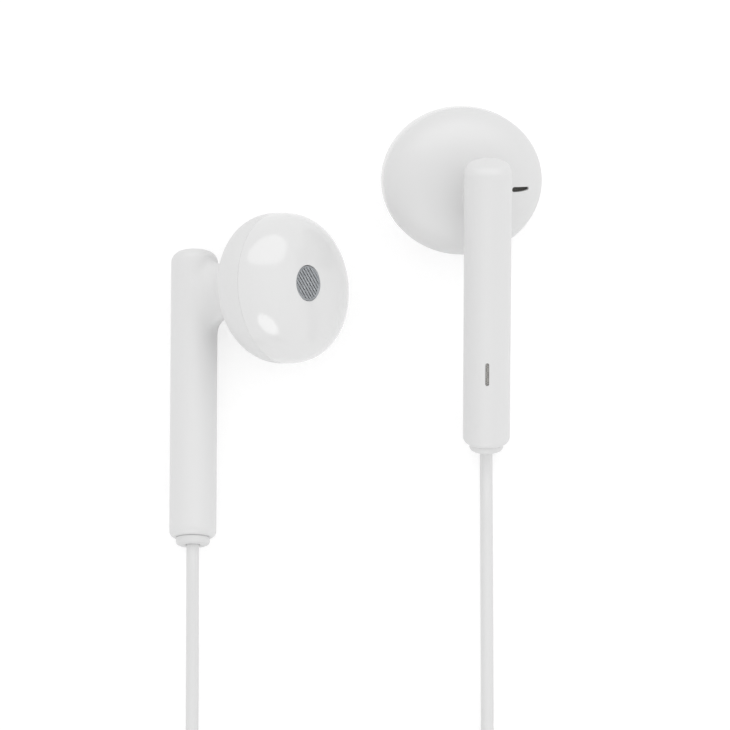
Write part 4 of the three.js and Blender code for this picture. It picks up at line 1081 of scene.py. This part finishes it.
def turned_again(node, name, place, slot, edge, gap=0.0):
    """Turns a node finer. A `gap` above the place's origin, between it and its neighbour, is closed."""
    work = merged_copy(node, (SCALE @ place).inverted())
    profile = [(r, CLOSED_GAP if 0 < h <= gap else h) for r, h in meridian(work)]
    work.free()
    piece = lathe(name, profile)
    soften_edges(piece, edge)
    return settle(piece, place, slot, node)


for name in SIDES:
    outward = EAR_PLACE[name] @ moved(0, -STEM_LENGTH, 0) @ turned("X", 90)
    turned_again(f"{name}_grommet", f"{name}_cord_grommet", outward, "satin_white", edge=0.12, gap=0.35)

# %% The reliefs and the plug
RELIEF_PLACES = {
    "top": moved(CORD_X, remote_ends[0] - RELIEF_LENGTH, REMOTE_AXIS) @ turned("X", -90),
    "bottom": moved(CORD_X, remote_ends[1] + RELIEF_LENGTH, REMOTE_AXIS) @ turned("X", 90),
}
for end, place in RELIEF_PLACES.items():
    turned_again(f"remote_relief_{end}", f"remote_sleeve_{end}", place, "satin_white", edge=0.15)

PLUG_BACK = 25  # the length of its handle and relief, behind its shoulder
PLUG_PLACE = moved(PLUG_X, PLUG_Y - PLUG_BACK, PLUG_AXIS) @ turned("X", 90)
PLUG_PIECES = {
    "plug_tip": "plated", "plug_ring_inner": "plated", "plug_ring_outer": "plated", "plug_sleeve": "plated",
    "plug_insulator": "insulator", "plug_handle": "gloss_white", "plug_relief": "satin_white",
}
plug = [
    turned_again(node, f"{node}_turned", PLUG_PLACE, slot, edge=0.15 if slot.endswith("white") else 0.03)
    for node, slot in PLUG_PIECES.items()
]

# %% [markdown]
# ## Remote
#
# The remote is two moulded halves with a parting line round the middle and three buttons in the front.
# Its body is a bar with round ends whose long edges have a wide radius. The buttons stand a little proud,
# with the thin even gap round them that a moulded button needs to move.

# %% A bar with round ends


def bar_outline(length, width, corner, steps=16):
    outline = []
    x, y = width / 2 - corner, length / 2 - corner
    for middle_x, middle_y, start in ((x, y, 0), (-x, y, 90), (-x, -y, 180), (x, -y, 270)):
        for i in range(steps + 1):
            angle = math.radians(start + 90 * i / steps)
            outline.append((middle_x + corner * math.cos(angle), middle_y + corner * math.sin(angle)))
    return outline


# %% The two halves and the buttons
REMOTE_PLACE = moved(CORD_X, REMOTE_Y, 0)
REMOTE_WIDTH, REMOTE_HEIGHT, REMOTE_EDGE = 8.2, 5, 1.2
PARTING_LINE = 0.1  # between the halves, at the cord's height
CORD_WAY, MICROPHONE_HOLE, MICROPHONE_Y = 1.1, 0.4, -14.0  # two radii, and where the hole is
BUTTONS = {  # position along the remote, length, width and corner
    "up": (9.4, 5.8, 4.6, 1.6), "middle": (0.0, 4.8, 4.8, 2.4), "down": (-9.4, 5.8, 4.6, 1.6),
}
BUTTON_GAP, BUTTON_EDGE, BUTTON_FOOT, BUTTON_TOP = 0.12, 0.25, 3.05, 5.35


def remote_half(name, low, high):
    """The bar without what lies between two heights, and without the cord's way."""
    half = prism(name, bar_outline(REMOTE_LENGTH, REMOTE_WIDTH, REMOTE_WIDTH / 2), 0, REMOTE_HEIGHT)
    soften_edges(half, REMOTE_EDGE, 60, 8)
    carve(half, prism("other_half", bar_outline(60, 20, 1), low, high))
    way = lathe("cord_way", [(0, -40), (CORD_WAY, -40), (CORD_WAY, 40), (0, 40)], 32)
    way.data.transform(moved(0, 0, REMOTE_AXIS) @ turned("X", 90))
    carve(half, way)
    return half


def pierced(half):
    """Cuts the buttons' openings and the microphone's hole."""
    for y, length, width, corner in BUTTONS.values():
        outline = bar_outline(length + 2 * BUTTON_GAP, width + 2 * BUTTON_GAP, corner + BUTTON_GAP)
        opening = prism("opening", outline, 1, 6)
        opening.data.transform(moved(0, y, 0))
        carve(half, opening)
    hole = lathe("microphone_hole", [(0, 3), (MICROPHONE_HOLE, 3), (MICROPHONE_HOLE, 6), (0, 6)], 32)
    hole.data.transform(moved(0, MICROPHONE_Y, 0))
    carve(half, hole)
    return half


remote_front = pierced(remote_half("remote_front", -1, REMOTE_AXIS + PARTING_LINE / 2))
settle(remote_front, REMOTE_PLACE, "gloss_white", "remote_front_shell")
remote_back = remote_half("remote_back", REMOTE_AXIS - PARTING_LINE / 2, 6)
settle(remote_back, REMOTE_PLACE, "gloss_white", "remote_back_shell")
for key, (y, length, width, corner) in BUTTONS.items():
    cap = prism(f"remote_cap_{key}", bar_outline(length, width, corner), BUTTON_FOOT, BUTTON_TOP)
    soften_edges(cap, BUTTON_EDGE, 60, 8)
    node = f"remote_button_{key}"
    settle(cap, REMOTE_PLACE @ moved(0, y, 0), "gloss_white", node, node)

# %% [markdown]
# ## Splitter and ties
#
# The splitter is moulded over the three cords, wide where two of them enter and narrow where one leaves.
# It is lofted through rounded sections. Each tie is a soft strap round a coil: its CAD shape is right, so a
# merged copy only gets its edges rounded.

# %% Loft the splitter
SPLITTER_HALF_WIDTH, SPLITTER_HALF_HEIGHT, SPLITTER_FULLNESS = 3.0, 2.0, 3
NARROWING, FLATTENING = 0.38, 0.095  # how much narrower and flatter it is where the main cord leaves
TIP, TIP_ROUNDING = 0.08, 0.14  # in the last 8 % of each half, it shrinks by 14 %


def lofted(name, sections):
    work = bmesh.new()
    rings = [[work.verts.new(p) for p in section] for section in sections]
    work.faces.new(rings[0])
    work.faces.new(rings[-1])
    for low, high in zip(rings, rings[1:]):
        for i in range(len(low)):
            j = (i + 1) % len(low)
            work.faces.new((low[i], low[j], high[j], high[i]))
    return from_bmesh(name, work)


def splitter_section(share, count=64):
    shrink = 1 - TIP_ROUNDING * (max(0.0, abs(2 * share - 1) - 1 + TIP) / TIP) ** 2
    width = SPLITTER_HALF_WIDTH * shrink * (1 - NARROWING * share**2)
    height = SPLITTER_HALF_HEIGHT * shrink * (1 - FLATTENING * share**2)
    section = []
    for i in range(count):
        c, s = math.cos(2 * math.pi * i / count), math.sin(2 * math.pi * i / count)
        y, z = [math.copysign(abs(v) ** (2 / SPLITTER_FULLNESS), v) for v in (c, s)]
        section.append((SPLITTER_LENGTH * share, width * y, SPLITTER_AXIS + height * z))
    return section


shares = [0, 0.01, 0.02, 0.03, 0.04, *[0.1 * i for i in range(1, 10)], 0.96, 0.97, 0.98, 0.99, 1]
splitter = lofted("cord_splitter", [splitter_section(share) for share in shares])
settle(splitter, moved(-SPLITTER_LENGTH / 2, SPLITTER_Y, 0), "satin_white", "splitter")

# %% Round the edges of the ties


def rounded_tie(node):
    work = merged_copy(node, SCALE.inverted())
    bmesh.ops.dissolve_limit(work, angle_limit=math.radians(1), verts=work.verts, edges=work.edges)
    strap = from_bmesh(f"{node}_strap", work)
    soften_edges(strap, 0.12)
    return settle(strap, Matrix.Identity(4), "tie", node)


ties = {node: rounded_tie(node) for node in ("right_tie_upper", "right_tie_lower", "left_tie", "main_tie")}

# %% Cord facts
cord_facts = {  # the nodes it stands for, where it leaves, what is at its far end, and what sits on it
    "right_cord_to_remote": (
        ["right_cord_upper", "right_coil_upper", "right_cord_middle"], right_exit,
        "fitting", [remote_front, remote_back, ties["right_tie_upper"]],
    ),
    "right_cord_to_splitter": (
        ["right_cord_lower", "right_coil_lower", "right_cord_end"],
        Vector((CORD_X, remote_ends[1], REMOTE_AXIS)), "fitting", [splitter, ties["right_tie_lower"]],
    ),
    "left_cord": (
        ["left_cord_upper", "left_coil", "left_cord_end"], left_exit,
        "fitting", [splitter, ties["left_tie"]],
    ),
    "main_cord": (
        ["main_cord_start", "main_coil", "main_cord_end"], main_socket,
        "plug", [*plug, ties["main_tie"]],
    ),
}
for name, (stands_for, leaves_at, far_end, pieces) in cord_facts.items():
    line, width = cord_lines[name]
    cord = cords[name]
    cord.data.materials.append(finishes["cord"])
    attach(cord, BODY)
    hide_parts(*stands_for)

# %% [markdown]
# ## Table and light
#
# The photograph is cut out on pure white. A white table under an even white sky gives that: rays from the
# camera, and reflections, see the table and the sky as white. The light itself comes from a sky that is a
# little stronger from above and from the right, as in the tent of a product studio. Two reflector cards
# show only in reflections: they give the face its two highlights. The table keeps a faint contact shadow.

# %% White table
TABLE_GLOW, TABLE_GREY = 0.66, 0.42  # as it is seen: its own light, and its share of the set's shadow
TABLE_BOUNCE = 0.96  # the share of light that it sends back to the set
TABLE_DROP = 0.08 * MM  # just under the cords' lowest point


def seen_white(tree):
    """1 for rays that see the table and the sky as white, and 0 for those that light the set."""
    rays = add(tree, "ShaderNodeLightPath").outputs
    seen = add(tree, "ShaderNodeMath", {
        0: rays["Is Camera Ray"], 1: rays["Is Glossy Ray"],
    }, operation="MAXIMUM").outputs[0]
    return add(tree, "ShaderNodeMath", {
        0: seen, 1: rays["Is Transmission Ray"],
    }, operation="MAXIMUM").outputs[0]


table_finish = bpy.data.materials.new("white_table")
table_finish.use_nodes = True
tree = table_finish.node_tree
tree.nodes.clear()
glow = add(tree, "ShaderNodeEmission", {"Color": (1, 1, 1, 1), "Strength": TABLE_GLOW})
shade = add(tree, "ShaderNodeBsdfDiffuse", {"Color": (TABLE_GREY, TABLE_GREY, TABLE_GREY, 1)})
bright = add(tree, "ShaderNodeAddShader", {0: glow.outputs[0], 1: shade.outputs[0]})
plain = add(tree, "ShaderNodeBsdfDiffuse", {"Color": (TABLE_BOUNCE, TABLE_BOUNCE, TABLE_BOUNCE, 1)})
mixed = add(tree, "ShaderNodeMixShader", {0: seen_white(tree), 1: plain.outputs[0], 2: bright.outputs[0]})
add(tree, "ShaderNodeOutputMaterial", {"Surface": mixed.outputs[0]})
bpy.ops.mesh.primitive_plane_add(size=4, location=(0, 0, -TABLE_DROP))
table = bpy.context.object
table.name = "table"
table.data.materials.append(table_finish)
table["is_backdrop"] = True

# %% Sky
SKY_SIDE = (0.6, 0.2, 0.77)  # where it is brightest
SKY_LEVEL, SKY_SLOPE = 0.935, 0.09  # its strength half-way, and how much more it is at its brightest

world = bpy.data.worlds.new("studio")
bpy.context.scene.world = world
world.use_nodes = True
tree = world.node_tree
tree.nodes.clear()
way = add(tree, "ShaderNodeTexCoord").outputs["Generated"]
towards = add(tree, "ShaderNodeVectorMath", {0: way, 1: SKY_SIDE}, operation="DOT_PRODUCT").outputs["Value"]
soft = add(tree, "ShaderNodeMath", {
    0: towards, 1: SKY_SLOPE, 2: SKY_LEVEL,
}, operation="MULTIPLY_ADD").outputs[0]
strength = add(tree, "ShaderNodeMapRange", {"Value": seen_white(tree), "To Min": soft, "To Max": 1.0})
sky = add(tree, "ShaderNodeBackground", {"Color": (1, 1, 1, 1), "Strength": strength.outputs["Result"]})
add(tree, "ShaderNodeOutputWorld", {"Surface": sky.outputs[0]})

# %% Reflectors
REFLECTORS = {  # azimuth and elevation in degrees, then distance, width and height in metres, power in watts
    "rear_reflector": (87, 47, 0.6, 1.3, 0.6, 2.9),
    "front_reflector": (-95, 16, 0.6, 0.5, 0.34, 1.1),
}
for name, (azimuth, elevation, distance, width, height, power) in REFLECTORS.items():
    lamp_data = bpy.data.lights.new(name, "AREA")
    lamp_data.shape, lamp_data.size, lamp_data.size_y, lamp_data.energy = "ELLIPSE", width, height, power
    lamp = bpy.data.objects.new(name, lamp_data)
    bpy.context.scene.collection.objects.link(lamp)
    aim = turned("Z", azimuth) @ turned("Y", -elevation) @ Vector((1, 0, 0))
    lamp.location = distance * aim
    lamp.rotation_euler = (-aim).to_track_quat("-Z", "Y").to_euler()
    lamp.visible_diffuse = False
bpy.context.scene.view_settings.view_transform = "Standard"

# %% [markdown]
# ## The size
# #
# # The dressed model must keep the CAD model's size. Both boxes are printed side by side.

# %% Print the sizes
for name, (low, high) in {"CAD": cad_box, "dressed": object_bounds()}.items():
    print(name, [round(v * 1000, 2) for v in (*low, *high)], "mm")
